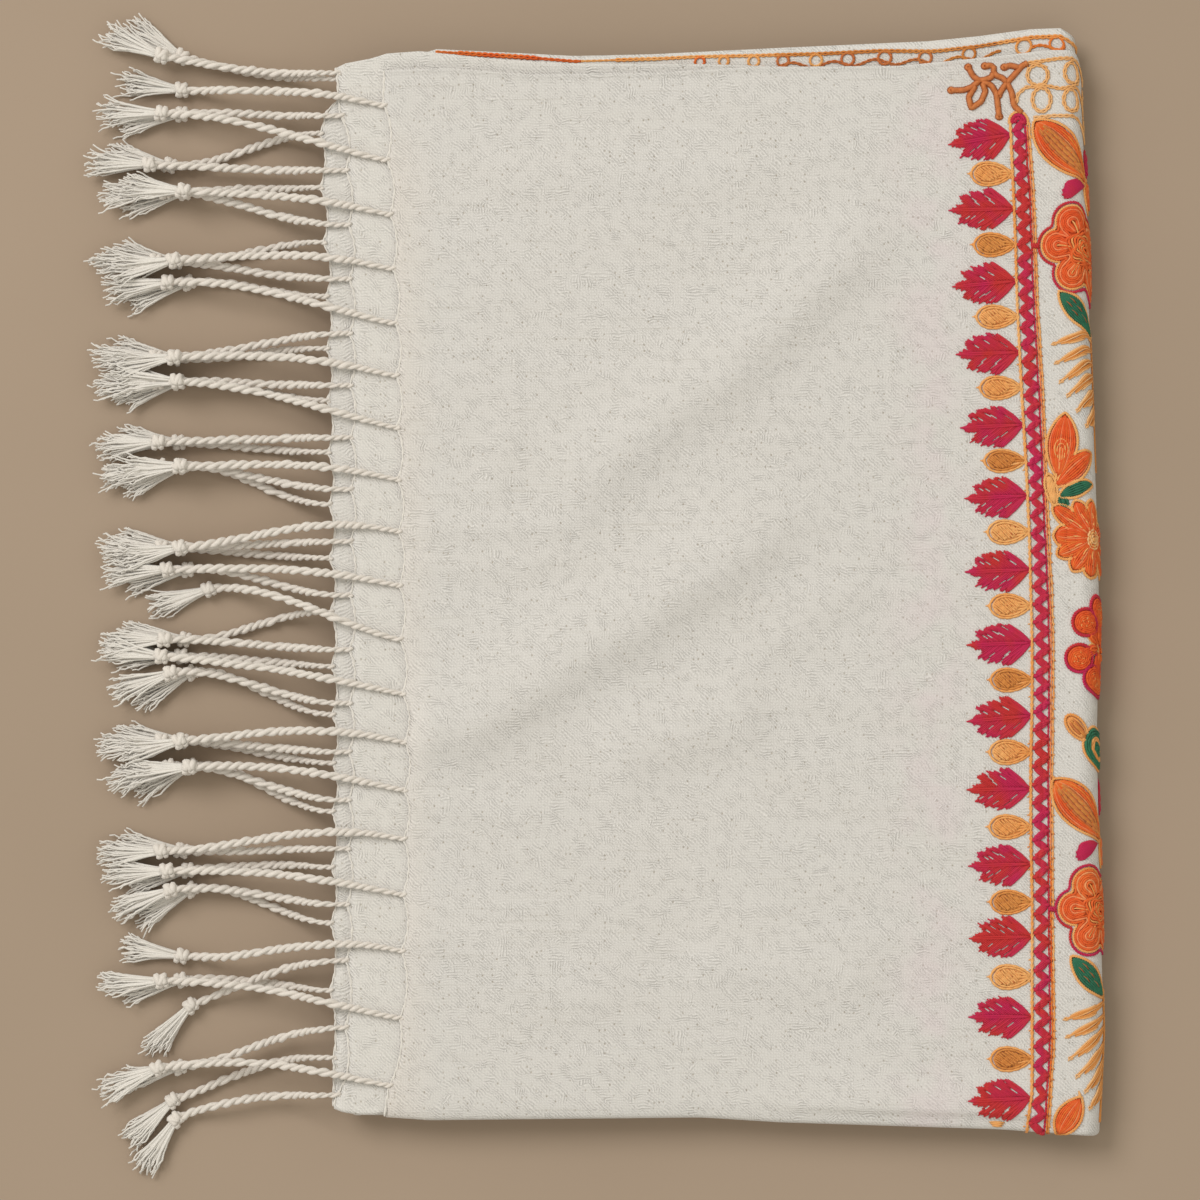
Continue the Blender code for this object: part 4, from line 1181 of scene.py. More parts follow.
def lobed(lobes, inset, floor):
    """A closed outline round overlapping circles, each given by its angle, distance and radius."""
    points = []
    for ray in arc(1.0, 1.0, 0.0, 2 * math.pi, LOBE_POINTS):
        ray = Vector(ray)
        reach = floor - inset
        for angle, distance, radius in lobes:
            centre = polar(distance, angle)
            ahead = centre.dot(ray)
            room = (radius - inset) ** 2 - centre.length_squared + ahead * ahead
            if radius > inset and room > 0:
                reach = max(reach, ahead + math.sqrt(room))
        points.append(ray * max(reach, 0.4))
    return points


class Work:
    """The stitches and the pads under them, gathered by their yarn and worked about one place."""

    def __init__(self, gathered, centre=(0.0, 0.0), angle=0.0):
        self.gathered = gathered
        self.centre = Vector(centre)
        self.angle = angle

    def at(self, centre, angle=0.0):
        """The same work, about another place and turned."""
        return Work(self.gathered, centre, angle)

    def near(self, spot, turn):
        """The same work about a spot in this place's own measures, turned from there."""
        return self.at(placed([spot], self.centre, self.angle)[0], self.angle + turn)

    def sew(self, yarn, stitch, path, *sizes):
        """Sews a path with one of the stitches above."""
        self.gathered[yarn][0].extend(stitch(placed(path, self.centre, self.angle), *sizes))

    def pad(self, yarn, outline, rise):
        self.gathered[yarn][1].append((outline, self.centre, self.angle, rise))

    def finish(self, name, skin):
        return [worked_piece(name + yarn, strands, pads, skin, YARNS[yarn])
                for yarn, (strands, pads) in self.gathered.items()]


# Leaves and petals: their outline's width, how far apart their rows lie and how high they are
# padded.
OUTLINE_WIDTH = 1.15
STITCH_GAP = 0.74
PETAL_RISE = 0.36
# The order of the yarns in an orange filling: without an ochre heart, then with one.
FILLING_ROWS = (("orange", "salmon", "orange", "flame", "orange"),
                ("orange", "flame", "orange", "flame", "salmon"))


def filled(here, colours, length, width, point, lean=0.0):
    """A leaf or petal of long close stitches that follow its length, over a pad and inside a
    corded outline. Its colours are its outline's, its filling's and its heart's."""
    outline, filling, heart = colours.split()
    ochre_heart = heart == "ochre"
    here.pad(filling, almond(length - 1.0, width - 1.0, point, lean), PETAL_RISE)
    here.sew(outline, cord_stitch, almond(length, width, point, lean), OUTLINE_WIDTH)
    upper = almond(length - 1.8, width - 1.6, point, lean, 44)[:23]
    rows = max(1, round(0.5 * (width - 1.6) / STITCH_GAP))
    for row in range(-rows, rows + 1):
        odd = row % 2
        share = row / (rows + 0.35)
        trim = 1 + round(2.4 * abs(share)) + odd
        path = [(x, y * share) for x, y in upper[trim:-trim]]
        height = 0.1 + PETAL_RISE * (1 - share * share)
        colour = FILLING_ROWS[ochre_heart][row % 5] if filling == "orange" else filling
        here.sew(colour, laid, path, 0.64 if colour == "salmon" else 0.78, height, 3.4)
        if abs(share) >= 0.5:
            continue
        if heart != filling:
            inner = path[1 + row % 3:-5 + abs(row)]
            yarn = "rust" if ochre_heart and odd else heart
            here.sew(yarn, laid, inner, 0.8, height + 0.14, 2.8)
            if ochre_heart:
                beside = [(x, y + 0.37) for x, y in inner[1 + odd:-2]]
                here.sew("brown" if odd else "ochre", laid, beside, 0.42, height + 0.34, 2.2)
        if width > 6 and (heart == "green" or ochre_heart and odd):
            x, y = path[len(path) // 2 + 3 * (row % 3) - 3]
            dash = ((x - 1.5, y), (x, y + 0.18), (x + 1.3, y))
            here.sew("brown", stroke, dash, 0.42, height + 0.42)


def curls(here):
    """Nested arches of fine gold stitches with a stem that runs down from them."""
    turn = math.radians(96)
    for size in (2.3, 1.35, 0.45):
        foot = -4.4 + size
        arch = [(foot, -0.75 * size), *arc(1.5 * size, size, -turn, turn, 12), (foot, 0.75 * size)]
        here.sew("gold", laid, arch, 0.5, 0.62, 2.4)
    stem = ((-3.0, 0.0), (-6.0, 0.5), (-8.2, 0.1), (-10.4, 0.9))
    here.sew("gold", laid, stem, 0.55, 0.6, 2.4)


# A crimson leaf's ragged edge on either side of its rib, from its neck to its tip, and the slits
# where the cloth shows: places along the leaf and out from the rib, in shares of the leaf's length
# and half width.
LEAF_EDGES = (
    ((0, 0.06), (0.1, 0.26), (0.2, 0.62), (0.347, 0.93), (0.43, 0.89), (0.509, 0.98), (0.535, 0.70),
     (0.59, 0.90), (0.65, 0.80), (0.719, 0.82), (0.735, 0.56), (0.80, 0.66), (0.87, 0.58),
     (0.845, 0.34), (0.79, 0.17), (0.875, 0.2), (1.0, 0.0)),
    ((0, 0.06), (0.1, 0.3), (0.22, 0.72), (0.36, 1.05), (0.41, 0.94), (0.485, 1.02), (0.455, 0.74),
     (0.56, 0.93), (0.60, 0.82), (0.69, 0.86), (0.65, 0.62), (0.75, 0.74), (0.79, 0.64),
     (0.87, 0.68), (0.815, 0.46), (0.77, 0.24), (0.86, 0.24), (1.0, 0.0)),
)
LEAF_SLITS = (
    ((0.74, 0.34), (0.64, 0.30), (0.545, 0.54), (0.44, 0.38), (0.35, 0.66), (0.24, 0.36)),
    ((0.72, 0.26), (0.63, 0.46), (0.53, 0.28), (0.44, 0.55), (0.34, 0.36), (0.25, 0.56)),
)
LEAF_LENGTH = 20.4
LEAF_HALF = 7.0
# How far a stitch runs ahead for each share it runs out, and how far apart stitches leave the rib.
LEAF_SLANT = 0.5
LEAF_STITCH = 0.043


def leaf_reach(edge, start):
    """How far out the stitch that leaves the rib at start meets the leaf's edge: its farthest
    crossing."""
    farthest = 0.0
    for (x0, out0), (x1, out1) in zip(edge, edge[1:]):
        low, high = x0 - LEAF_SLANT * out0 - start, x1 - LEAF_SLANT * out1 - start
        if low * high <= 0 and low != high:
            farthest = max(farthest, mix(out0, out1, low / (low - high)))
    return farthest


def slanting_stitches(here, edge, slits, side, length, chance):
    """One side of a crimson leaf: stitches slant from its rib to its edge and are cut at slits."""
    for number in range(-5, 22):
        start = LEAF_STITCH * number
        out = leaf_reach(edge, start)
        if out < 0.05:
            continue
        out += chance.uniform(-0.035, 0.035)
        path = []
        for step in range(9):
            share = step / 8
            bow = 0.07 * math.sin(math.pi * share) if start > 0 else 0.0
            ahead = mix(max(start, 0.0), start + LEAF_SLANT * out,
                        share ** (1.0 if start >= 0 else 0.86))
            path.append((-length * ahead,
                         side * (0.12 + LEAF_HALF * (out * share + bow * out * 0.6))))
        near = min(slits, key=lambda slit: abs(slit[0] - start))
        apart = abs(near[0] - start)
        height = 0.06 * (number % 2)
        if apart >= 0.5 * LEAF_STITCH or out < near[1] + 0.2:
            width = 0.58 if apart < 1.6 * LEAF_STITCH else 0.74
            here.sew("crimson", stroke, path, width, height, 0.6)
            continue
        middle = round(8 * near[1] / out)
        for part in (path[:middle], path[middle + 1:]):
            here.sew("crimson", stroke, part, 0.72, height, 0.7)


def crimson_leaf(here, chance):
    """A leaf of close stitches on both sides of its rib, with a ragged edge and short slits."""
    length = LEAF_LENGTH + chance.uniform(-0.5, 0.5)
    flip = chance.choice((0, 1))
    for side in (1, -1):
        edge = LEAF_EDGES[(side > 0) ^ flip]
        slits = [(ahead - LEAF_SLANT * out + chance.uniform(-0.03, 0.03), out)
                 for ahead, out in LEAF_SLITS[(side > 0) ^ flip]]
        slanting_stitches(here, edge, slits, side, length, chance)
        shoulder = edge[:5]
        for number in range(1, 12):
            place = 0.031 * number
            out = along(shoulder, place)
            path = [(-length * place * share,
                     side * LEAF_HALF * (out * share + 0.05 * math.sin(math.pi * share)))
                    for share in (0.0, 0.25, 0.5, 0.75, 1.0)]
            here.sew("crimson", stroke, path, 0.74, 0.05 * (number % 2), 0.6)
        path = [(-length * place, side * (LEAF_HALF * along(shoulder, place) - 0.3))
                for place in (0.034 * step for step in range(1, 11))]
        here.sew("crimson", laid, path, 0.7, 0.06, 3.4)
    for shift in (-0.3, 0.3):
        rib = ((0.2, 0), (-0.4 * length, shift), (-0.78 * length, shift), (-length - 0.4, 0))
        here.sew("crimson", stroke, rib, 0.8, 0.1)


# A pod's length, how pointed it is and how far ahead of its middle it is widest.
POD_LENGTH = 13.4
POD_POINT = 0.36
POD_LEAN = -0.2


def pod(here, colour, chance):
    """A seed pod: an edge of two rows, slanting rows inside it, a spike at one end and a neck at
    the other."""
    width = 7.6 + chance.uniform(-0.3, 0.3)
    here.pad(colour, almond(POD_LENGTH - 2.0, width - 1.4, 0.35, POD_LEAN), 0.4)
    here.sew("gold", laid, almond(POD_LENGTH, width, POD_POINT, POD_LEAN), 0.86, 0.0, 2.6)
    inner = almond(POD_LENGTH - 2.4, width - 1.5, POD_POINT, POD_LEAN)
    here.sew(colour, laid, inner, 0.8, 0.16, 2.4)
    ahead = polar(1.0, -40 + chance.uniform(-6, 6))
    across = Vector((-ahead.y, ahead.x))
    half_length, half_width = 0.5 * POD_LENGTH - 1.9, 0.5 * width - 1.1
    for row in range(-7, 8):
        bend = 0.35 * math.sin(row)
        spots = []
        for step in range(25):
            spot = across * 0.66 * row + ahead * mix(-7.5, 7.5, step / 24)
            spot += across * bend * math.cos(0.3 * spot.x)
            squeezed = spot.y / half_width * (1.0 + 0.09 * max(spot.x + 1.0, 0.0))
            if ((spot.x + 1.0) / half_length) ** 2 + squeezed ** 2 < 1:
                spots.append(spot)
        if len(spots) > 2:
            here.sew(colour, laid, spots, 0.74, 0.22, 2.2)
            dark = spots[chance.randrange(len(spots) - 1)] + across * 0.33
            dash = (dark, dark + ahead * chance.uniform(0.6, 1.3))
            here.sew("rust" if colour == "gold" else "brown", stroke, dash, 0.46, 0.34)
    for lower in (-0.55, 0.0, 0.55):
        neck = ((1.6, 2.6 * lower), (4.4, 1.4 * lower), (6.9, lower * 0.6))
        here.sew("gold" if lower < 0 else colour, stroke, neck, 0.8, 0.1)
    for tilt, length in ((-24, 1.0), (2, 1.7), (28, 1.0)):
        spike = here.near((-0.5 * POD_LENGTH + 0.3, 0.1), tilt)
        spike.sew("gold", stroke, ((0, 0), (-length, 0)), 0.55)


def bloom(here):
    """The large lobed flower: a crimson line, a pale line, then rows that follow its lobes in to a
    curled heart."""
    here.pad("orange", lobed(BLOOM_LOBES, 1.2, 7.5), 0.38)
    here.sew("crimson", cord_stitch, lobed(BLOOM_LOBES, 0, BLOOM_FLOOR), OUTLINE_WIDTH)
    here.sew("gold", cord_stitch, lobed(BLOOM_LOBES, 1.05, BLOOM_FLOOR), 1.0)
    for inset, colour in ((1.75, "orange"), (2.4, "salmon"), (3.05, "orange")):
        here.sew(colour, laid, lobed(BLOOM_LOBES, inset, BLOOM_FLOOR), 0.78, 0.2)
    half_turn = math.radians(128)
    for angle, distance, radius in BLOOM_LOBES:
        lobe = here.at(here.centre + polar(distance, angle), angle)
        for number, inset in enumerate((3.65, 4.3, 4.95, 5.6)):
            row = arc(radius - inset, radius - inset, -half_turn, half_turn, 14)
            foot = -distance * 0.35
            row = [(foot, row[0][1] * 0.6), *row, (foot, row[-1][1] * 0.6)]
            lobe.sew("salmon" if number == 2 else "orange", laid, row, 0.76, 0.38 + 0.05 * number)
        lobe.sew("gold", stroke, ((-0.55 * distance, 0.4), (-1.0, -0.3), (1.2, 0.2)), 0.55, 0.55)
    for row in range(9):
        colour = "gold" if row in (2, 5, 7) else "orange"
        swirl = []
        for step in range(41):
            turn = 2 * math.pi * step / 40
            distance = (6.0 - 0.64 * row) * (1 + 0.15 * math.sin(5 * turn + 0.7 * row))
            swirl.append((distance * math.cos(turn), distance * math.sin(turn)))
        here.sew(colour, laid, swirl, 0.82 if colour == "orange" else 0.62, 0.46 + 0.02 * row)
    joint = lobed(BLOOM_LOBES, 0, BLOOM_FLOOR)[LOBE_POINTS // 2][0]
    here.sew("crimson", cord_stitch, ((joint, 0.2), (joint - 2.2, 0.6)), 2.1)


# The stitches of a frond: how far each lies to a side, where it starts and ends, and its yarn.
FROND_STITCHES = ((-0.55, 0.0, 0.9, "ochre"), (0.6, 0.05, 0.82, "ochre"),
                  (-1.35, 0.3, 0.86, "pale"), (-0.95, 0.1, 0.95, "gold"),
                  (-0.1, 0.0, 1.02, "pale"), (0.95, 0.12, 0.84, "gold"), (1.4, 0.34, 0.7, "pale"))


def fern(work, stem, top, bottom, fronds):
    """Slim fronds of long stitches, darker at their middle, leave a stem one below the other."""
    for shift, colour in ((-0.45, "ochre"), (0.35, "gold")):
        levels = [mix(top, bottom, step / 16) for step in range(17)]
        work.sew(colour, cord_stitch, [(along(BAND_RIGHT, y) + stem + shift, y) for y in levels],
                 1.0, 3.0)
    for number, (base_y, tip_past, tip_y) in enumerate(fronds):
        base = Vector((along(BAND_RIGHT, base_y) + stem - 0.3, base_y))
        tip = Vector((along(BAND_RIGHT, tip_y) + tip_past, tip_y))
        run = tip - base
        across = Vector((-run.y, run.x)).normalized()
        for shift, start, end, colour in FROND_STITCHES:
            path = []
            for step in range(8):
                share = mix(start, end, step / 7)
                swell = math.sin(math.pi * min(share, 1.0))
                ripple = 0.16 * math.sin(11 * share + 2.3 * shift + number)
                out = shift * swell ** 0.6 + 0.9 * swell + ripple
                path.append(base + run * share + across * out)
            width, height = (0.75, 0.0) if colour == "ochre" else (0.52, 0.14)
            work.sew(colour, stroke, path, width, height, 0.7)
        knot = work.at(tip - run.normalized() * 0.9)
        knot.sew("pale", laid, almond(1.5, 1.0), 0.42, 0.1, 1.6)


# The gold flecks on a round petal: how far each is turned, and its place along and out.
FLECKS = ((-22, -0.9, 0.7), (8, -0.4, -0.6), (30, 0.9, 0.5), (-60, 0.8, -1.1), (70, -1.4, -1.6),
          (-35, 0.2, 1.9), (15, 1.9, 0.0))
# The angles of the small buds at its heart, and how far apart a petal's rings lie.
HEART_BUDS = (95, 150, 205, 268, 20, 330)
RING_STEP = 0.63


def round_flower(here, petals):
    """A flower of round petals, each a padded disc on a stalk, with small buds at its heart."""
    for angle, distance, radius in petals:
        petal = here.at(here.centre + polar(distance, angle), angle)
        petal.pad("orange", disc(radius - 0.3), 0.5)
        petal.sew("crimson", cord_stitch, disc(radius), 1.35)
        for shift in (-1.3, -0.65, 0.0, 0.65, 1.3):
            path = ((-0.5 * radius, shift * 1.2), (-distance + 2.2, shift * 0.7))
            petal.sew("orange", stroke, path, 0.8, 0.1, 0.7)
        outer, inner = -0.6 * radius, -distance + 1.5
        for edge in (((outer, 1.6), (inner, 0.9)), ((inner, -0.9), (outer, -1.6))):
            petal.sew("crimson", stroke, edge, 0.7, 0.1)
        ring = radius - 1.1
        while ring > 0.3:
            colour = "orange" if ring > 0.6 * radius else "flame"
            row = here.at(petal.centre, angle + 40 * ring)
            row.sew(colour, laid, disc(ring), 0.8, 0.42 - 0.05 * ring, 2.2)
            ring -= RING_STEP
        for lean, ahead, out in FLECKS:
            fleck = petal.near((ahead, out), lean)
            fleck.sew("gold", stroke, ((-0.5, 0.1), (0.5, -0.1)), 0.4, 0.56)
    for angle in HEART_BUDS:
        small = here.at(placed([(3.3, 0.0)], here.centre, angle)[0], angle)
        small.pad("flame", almond(5.2, 2.6, 0.2), 0.7)
        small.sew("gold", cord_stitch, almond(5.4, 2.9, 0.2), 0.6)
        small.sew("flame", laid, almond(3.4, 1.2, 0.2), 0.7, 0.6)


def daisy(here, petals):
    """A flower of pointed petals, each with a gold vein, about an oval ringed heart."""
    for angle, length, width in petals:
        petal = here.at(here.centre + polar(0.5 * length + 0.7, angle), angle)
        filled(petal, "gold orange orange", length, width, 0.5, 0.2)
        vein = ((-0.38 * length, 0.2), (-0.1 * length, -0.2), (0.14 * length, 0.3))
        petal.sew("gold", stroke, vein, 0.5, 0.66)
    heart = here.at(here.centre, 80)
    heart.pad("gold", almond(6.6, 4.2), 0.9)
    for size, colour in ((1.0, "pale"), (0.72, "gold"), (0.44, "pale"), (0.18, "gold")):
        heart.sew(colour, laid, almond(6.6 * size, 4.2 * size), 0.8, 0.8 - 0.3 * size, 2.0)
    here.sew("rust", stroke, ((-0.4, 1.3), (0.4, 1.3)), 0.7, 1.0)


def bud(here):
    """A crimson bud: close stitches that spread from its pointed root to a ragged slanting end."""
    here.near((5.1, 0.0), 0.0).pad("crimson", almond(6.2, 4.0, 0.5, 0.3), 0.35)
    for row in range(-5, 6):
        far = 8.9 + 0.22 * row - 0.055 * row * row + (0.0, 0.5, 0.15)[row % 3]
        path = ((0.2, 0.05 * row), (0.45 * far, 0.36 * row), (0.8 * far, 0.47 * row),
                (far, 0.4 * row))
        here.sew("crimson", stroke, path, 0.86, 0.26 - 0.012 * row * row, 0.7)


# The spiral's inner rows: yarn and share of its radius.
SPIRAL_ROWS = (("green", 0.87), ("green", 0.75), ("green", 0.64), ("gold", 0.53), ("gold", 0.42),
               ("green", 0.3), ("green", 0.17))


def spiral(here, radius):
    """A green disc of open rings inside a corded gold one."""
    here.pad("green", almond(2 * radius - 2, 2.3 * radius - 2), 0.3)

    def turned(share):
        path = []
        for step in range(29):
            distance = radius * share * mix(1.0, 0.9, step / 28)
            turn = math.radians(70 + 13 * step)
            path.append((distance * math.cos(turn), distance * 1.03 * math.sin(turn)))
        return path

    here.sew("gold", cord_stitch, turned(1.0), 1.05)
    for colour, share in SPIRAL_ROWS:
        here.sew(colour, laid, turned(share), 1.0, 0.2)


# The lines at the band's right: each one's yarn, shift, width and lay. The third turns from salmon
# to flame below FLAME_FROM.
RIGHT_LINES = (("crimson", -0.95, 0.8, 3.0), ("gold", 0.5, 0.85, 4.6), ("salmon", -0.2, 0.72, 3.6),
               ("flame", -0.2, 0.8, 3.6))
FLAME_FROM = -85.0


def band_lines(work, chance):
    """The corded lines on both sides of the band, with the stray stitches beside them."""
    first, last = BAND_ENDS
    levels = [mix(first, last, step / 48) for step in range(49)]
    lower = [y for y in levels if y < FLAME_FROM]
    runs = (levels, levels, levels[:-len(lower) + 1], lower)
    work.sew("gold", cord_stitch, [(along(BAND_LEFT, y), y) for y in levels], 1.3, 4.0)
    for (colour, shift, width, lay), places in zip(RIGHT_LINES, runs):
        path = [(along(BAND_RIGHT, y) + shift + 0.12 * math.sin(0.37 * y + 3 * shift), y)
                for y in places]
        work.sew(colour, cord_stitch, path, width, lay)
    y = first - 1.0
    while y > last + 2:
        y -= chance.uniform(2.2, 4.4)
        left, right = along(BAND_LEFT, y) - 0.5, along(BAND_RIGHT, y) + 0.65
        if chance.random() < 0.35:
            work.sew("gold", stroke, ((left, y), (left - 0.75, y - 0.35)), 0.5)
        tick = chance.uniform(0.25, 0.6)
        colour = "rust" if chance.random() < 0.6 else "gold"
        work.sew(colour, stroke, ((right, y), (right + tick, y - 0.45)), 0.6, 0.1)
        work.sew("brown", stroke, ((right - 0.45, y), (right - 0.4, y - 2 * tick)), 0.45, 0.22)


def band_zigzag(work):
    """The crimson zigzag between the band's lines, and the arches that close its back end."""
    first, last = BAND_ENDS
    zigzag = []
    y = first
    while y > last:
        left, right = along(BAND_LEFT, y) + 1.3, along(BAND_RIGHT, y) - 1.5
        zigzag.append((left if len(zigzag) % 2 else right, y))
        y -= 0.5 * along(ZIGZAG_PITCHES, y)
    for shift in (-1.0, -0.36, 0.36, 1.0):
        path = [(x, y + shift) for x, y in zigzag]
        work.sew("crimson", laid, path, 1.12, 0.16 - 0.1 * abs(shift), 3.2)
    for number, (x, y) in enumerate(zigzag):
        out = 0.85 if number % 2 == 0 else -0.85
        work.sew("crimson", stroke, ((x - out, y), (x + out, y)), 1.5, 0.1, 0.7)
    middle = 0.5 * (along(BAND_LEFT, first) + along(BAND_RIGHT, first)) - 0.1
    end = work.at((middle, first + 0.2))
    for size, colour, width in ((6.4, "gold", 1.15), (4.4, "crimson", 1.6), (2.4, "crimson", 1.6)):
        end.sew(colour, cord_stitch, arc(0.5 * size, 0.55 * size, -0.3, 3.3, 6), width)


def band(work, chance):
    """The band of zigzag between its lines, with the leaves and pods that grow from it."""
    band_lines(work, chance)
    band_zigzag(work)
    for y, tilt in zip(LEAF_ROWS, LEAF_TILTS):
        place = (along(BAND_LEFT, y) - 0.5, y + 0.4)
        crimson_leaf(work.at(place, tilt + chance.uniform(-1.5, 1.5)), chance)
    for y, dark in zip(POD_ROWS, POD_DARK):
        place = (along(BAND_LEFT, y) - 0.3 - 0.5 * POD_LENGTH, y)
        pod(work.at(place), "ochre" if dark else "gold", chance)
    tip = along(BAND_RIGHT, -167) + 10.9
    path = ((tip, -168.2), (tip - 0.9, -166.6), (tip - 1.2, -165.2))
    work.sew("gold", stroke, path, 0.9, 0.1)
    for row in range(3):
        low = -0.6 * row
        path = ((88.8 + 0.5 * row, -175.6 + low), (94.0 - 0.4 * row, -175.8 + low))
        work.sew("gold", stroke, path, 0.8)


def corner(work):
    """The rust sprig in the corner and the pale loops of the border that starts from it."""
    for path in SPRIG:
        work.sew("rust", laid, path, 1.6, 0.1, 2.8)
        spots = flat_path(path, 1.0)
        for shift in (-0.82, 0.82):
            edge = [(spot.x - ahead.y * shift, spot.y + ahead.x * shift) for spot, ahead in spots]
            work.sew("brown", cord_stitch, edge, 0.62, 1.4)
            inside = [(mix(spot.x, x, 0.45), mix(spot.y, y, 0.45))
                      for (x, y), (spot, _) in zip(edge, spots)]
            work.sew("rust", laid, inside, 0.72, 0.42, 1.9)
    for spot in SPRIG_ENDS:
        end = work.at(spot)
        end.sew("rust", laid, almond(1.2, 1.1), 1.1, 0.1, 1.4)
        end.sew("brown", cord_stitch, almond(2.4, 2.2), 0.55, 1.2)
    for path in (BORDER_TOP, BORDER_LOW, BORDER_WAVE):
        work.sew("pale", chain, path, 1.35)
    for x, y, half_width, half_height in LOOPS:
        work.at((x, y)).sew("pale", chain, almond(2 * half_width, 2 * half_height), 1.45)
        for turn in (40, 140, 250):
            knot = ((half_width + 0.2, 0), (half_width + 1.0, 0.2))
            work.at((x, y), turn).sew("pale", stroke, knot, 0.6)


def new_work(*yarns):
    return Work({yarn: ([], []) for yarn in yarns})


def make_top_embroidery():
    chance = random.Random(5)
    work = new_work("crimson", "orange", "gold", "ochre", "rust", "green", "flame", "brown", "pale",
                    "salmon")

    def grow(motif, *rows):
        for past, y, angle, *sizes in rows:
            motif(work.at((along(BAND_RIGHT, y) + past, y), angle), *sizes)

    band(work, chance)
    corner(work)
    grow(filled, *GROWTH)
    grow(curls, CURLS)
    for parts in FERNS:
        fern(work, *parts)
    grow(bud, *BUDS)
    grow(bloom, *BLOOMS)
    grow(daisy, DAISY)
    grow(round_flower, ROUND_FLOWER)
    grow(spiral, SPIRAL)
    return work.finish("top_", top_skin_held)


def make_inner_embroidery():
    """The loop border along the selvedge of the stretch below, in insets from the selvedge."""
    work = new_work("flame", "rust", "gold", "ochre")
    for colour, first, last, width in INNER_LINES:
        places = [mix(first, last, step / 40) for step in range(41)]
        work.sew(colour, chain, [(x, along(INNER_LINE, x)) for x in places], width)
    for x, colour, radius in RINGS:
        ring = work.at((x, along(INNER_LINE, x) + radius - 0.5))
        ring.sew(colour, cord_stitch, disc(radius - 0.6), 1.15)
    for colour, first, last in INNER_WAVES:
        places = [mix(first, last, step / 60) for step in range(61)]
        wave = [(x, along(INNER_LINE, x) + 3.6 + 0.9 * math.sin(0.46 * x)) for x in places]
        work.sew(colour, chain, wave, 1.1)
    return work.finish("border_", inner_skin_held)


def top_skin_held(reach, y, lift):
    """The top stretch's surface, kept off the fold's underside and off the lip's cut edge."""
    reach = min(reach, along(TOP_RIGHT, y) - LAST_FOLD_RADIUS + 2.7 * LAST_FOLD_RADIUS)
    y = max(y, along(TOP_FRONT, min(reach, 125.0)) - 2.2)
    return top_skin(reach, y, lift)


def inner_skin_held(reach, inset, lift):
    """The embroidered stretch's surface, where stitches lie flatter under the stretches above."""
    y = along(INNER_BACK, reach) - inset
    free = smooth_step((y - along(SECOND_BACK, reach)) / 0.8)
    return inner_skin(reach, inset, lift * mix(0.25, 1.0, free))


PAD_RINGS = 8
# Stitches under the last fold lie pressed flat, this far off the surface below.
PRESSED_GAP = 0.05


def worked_piece(name, strands, pads, skin, finish):
    """Strands and padding worked in the flat, then laid on the cloth."""
    bm = bmesh.new()
    for outline, centre, angle, rise in pads:
        outline = placed(outline[:-1], (0, 0), angle)
        parts = len(outline)
        made = bmesh.ops.create_uvsphere(bm, u_segments=parts, v_segments=PAD_RINGS, radius=1.0)
        for vert in made["verts"]:
            number = round(math.atan2(vert.co.y, vert.co.x) / (2 * math.pi) * parts) % parts
            spot = outline[number] * vert.co.xy.length + centre
            vert.co = (spot.x, spot.y, rise * vert.co.z)
    bmesh.ops.recalc_face_normals(bm, faces=bm.faces)
    strands_mesh(strands, bm=bm)
    for vert in bm.verts:
        vert.co = skin(*vert.co)
        vert.co.z = max(vert.co.z, PRESSED_GAP)
    return finish_piece(name + "_stitches", bm, finish)


# ---------------------------------------------------------------- light, camera and surface

def stand(name, data):
    """Puts a new object into the scene."""
    made = bpy.data.objects.new(name, data)
    bpy.context.scene.collection.objects.link(made)
    return made


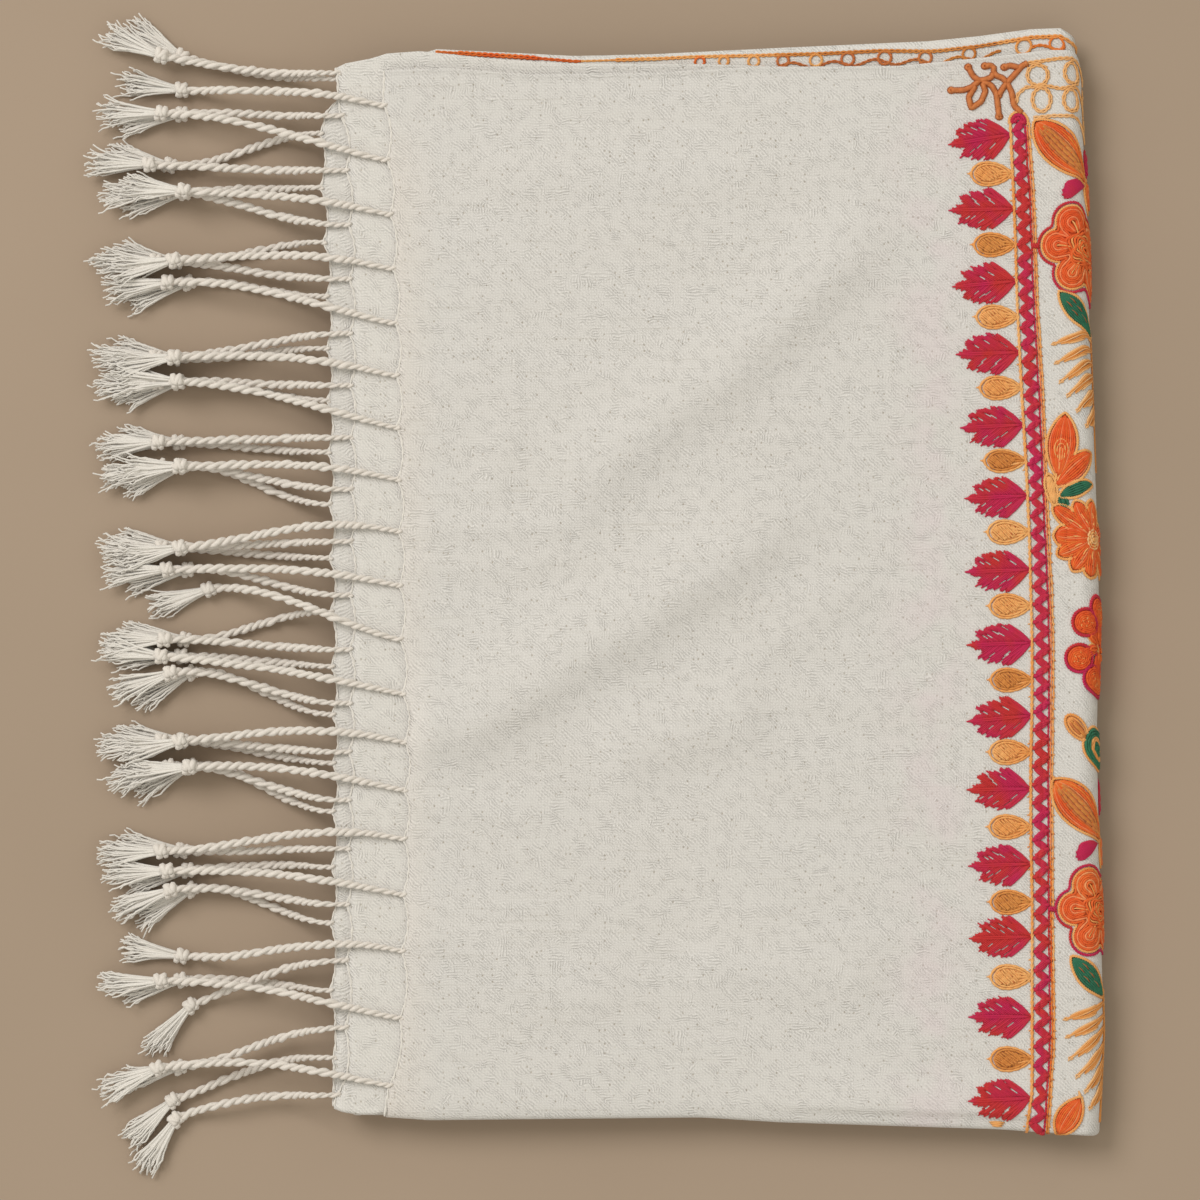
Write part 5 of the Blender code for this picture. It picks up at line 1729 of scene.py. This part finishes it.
# The surface's half width and how far it lies under the stole, the light's place, and the camera:
# metres.
SURFACE_HALF = 2.5
SURFACE_GAP = 0.0002
LIGHT_PLACE = (-2.35, 2.05, 3.3)
LIGHT_WIDTH = 2.4
CAMERA_HEIGHT = 2.0
FIELD_WIDTH = 0.396
FIELD_CENTRE = (-0.0396, -0.0033)
SENSOR_WIDTH = 36.0


def make_surface():
    bm = bmesh.new()
    bmesh.ops.create_grid(bm, x_segments=1, y_segments=1, size=SURFACE_HALF)
    mesh = bpy.data.meshes.new("surface")
    bm.to_mesh(mesh)
    bm.free()
    nodes = Nodes("pale_surface")
    tone = nodes.noise(nodes.add("TexCoord", "Object"), 3.0, 3.0)
    colour = nodes.ramp(tone, (0.3, (0.345, 0.264, 0.198)), (0.7, (0.379, 0.29, 0.22)))
    mesh.materials.append(nodes.finish(colour, 0.75))
    surface = stand("surface", mesh)
    surface.location.z = -SURFACE_GAP


def make_light():
    light = bpy.data.lights.new("soft_window", "AREA")
    light.shape = "DISK"
    light.size = LIGHT_WIDTH
    light.energy = 112.0
    light.color = (1.0, 0.985, 0.96)
    lamp = stand("soft_window", light)
    lamp.location = LIGHT_PLACE
    lamp.rotation_euler = (-lamp.location).to_track_quat("-Z", "Y").to_euler()
    world = bpy.data.worlds.new("room")
    world.use_nodes = True
    sky = world.node_tree.nodes["Background"].inputs
    sky["Color"].default_value = (1.0, 0.967, 0.85, 1.0)
    sky["Strength"].default_value = 0.69
    bpy.context.scene.world = world
    bpy.context.scene.view_settings.view_transform = "Standard"


def make_camera():
    lens = bpy.data.cameras.new("camera")
    lens.sensor_width = SENSOR_WIDTH
    lens.lens = SENSOR_WIDTH * (CAMERA_HEIGHT - TOP_Z * MM) / FIELD_WIDTH
    lens.clip_start = 0.05
    camera = stand("camera", lens)
    camera.location = (*FIELD_CENTRE, CAMERA_HEIGHT)
    bpy.context.scene.camera = camera


top_cloth, second_cloth, embroidered_cloth = make_cloths()
hidden_cloth = make_hidden_cloth()
fringes = make_fringe()
top_stitches = make_top_embroidery()
border_stitches = make_inner_embroidery()
make_surface()
make_light()
make_camera()
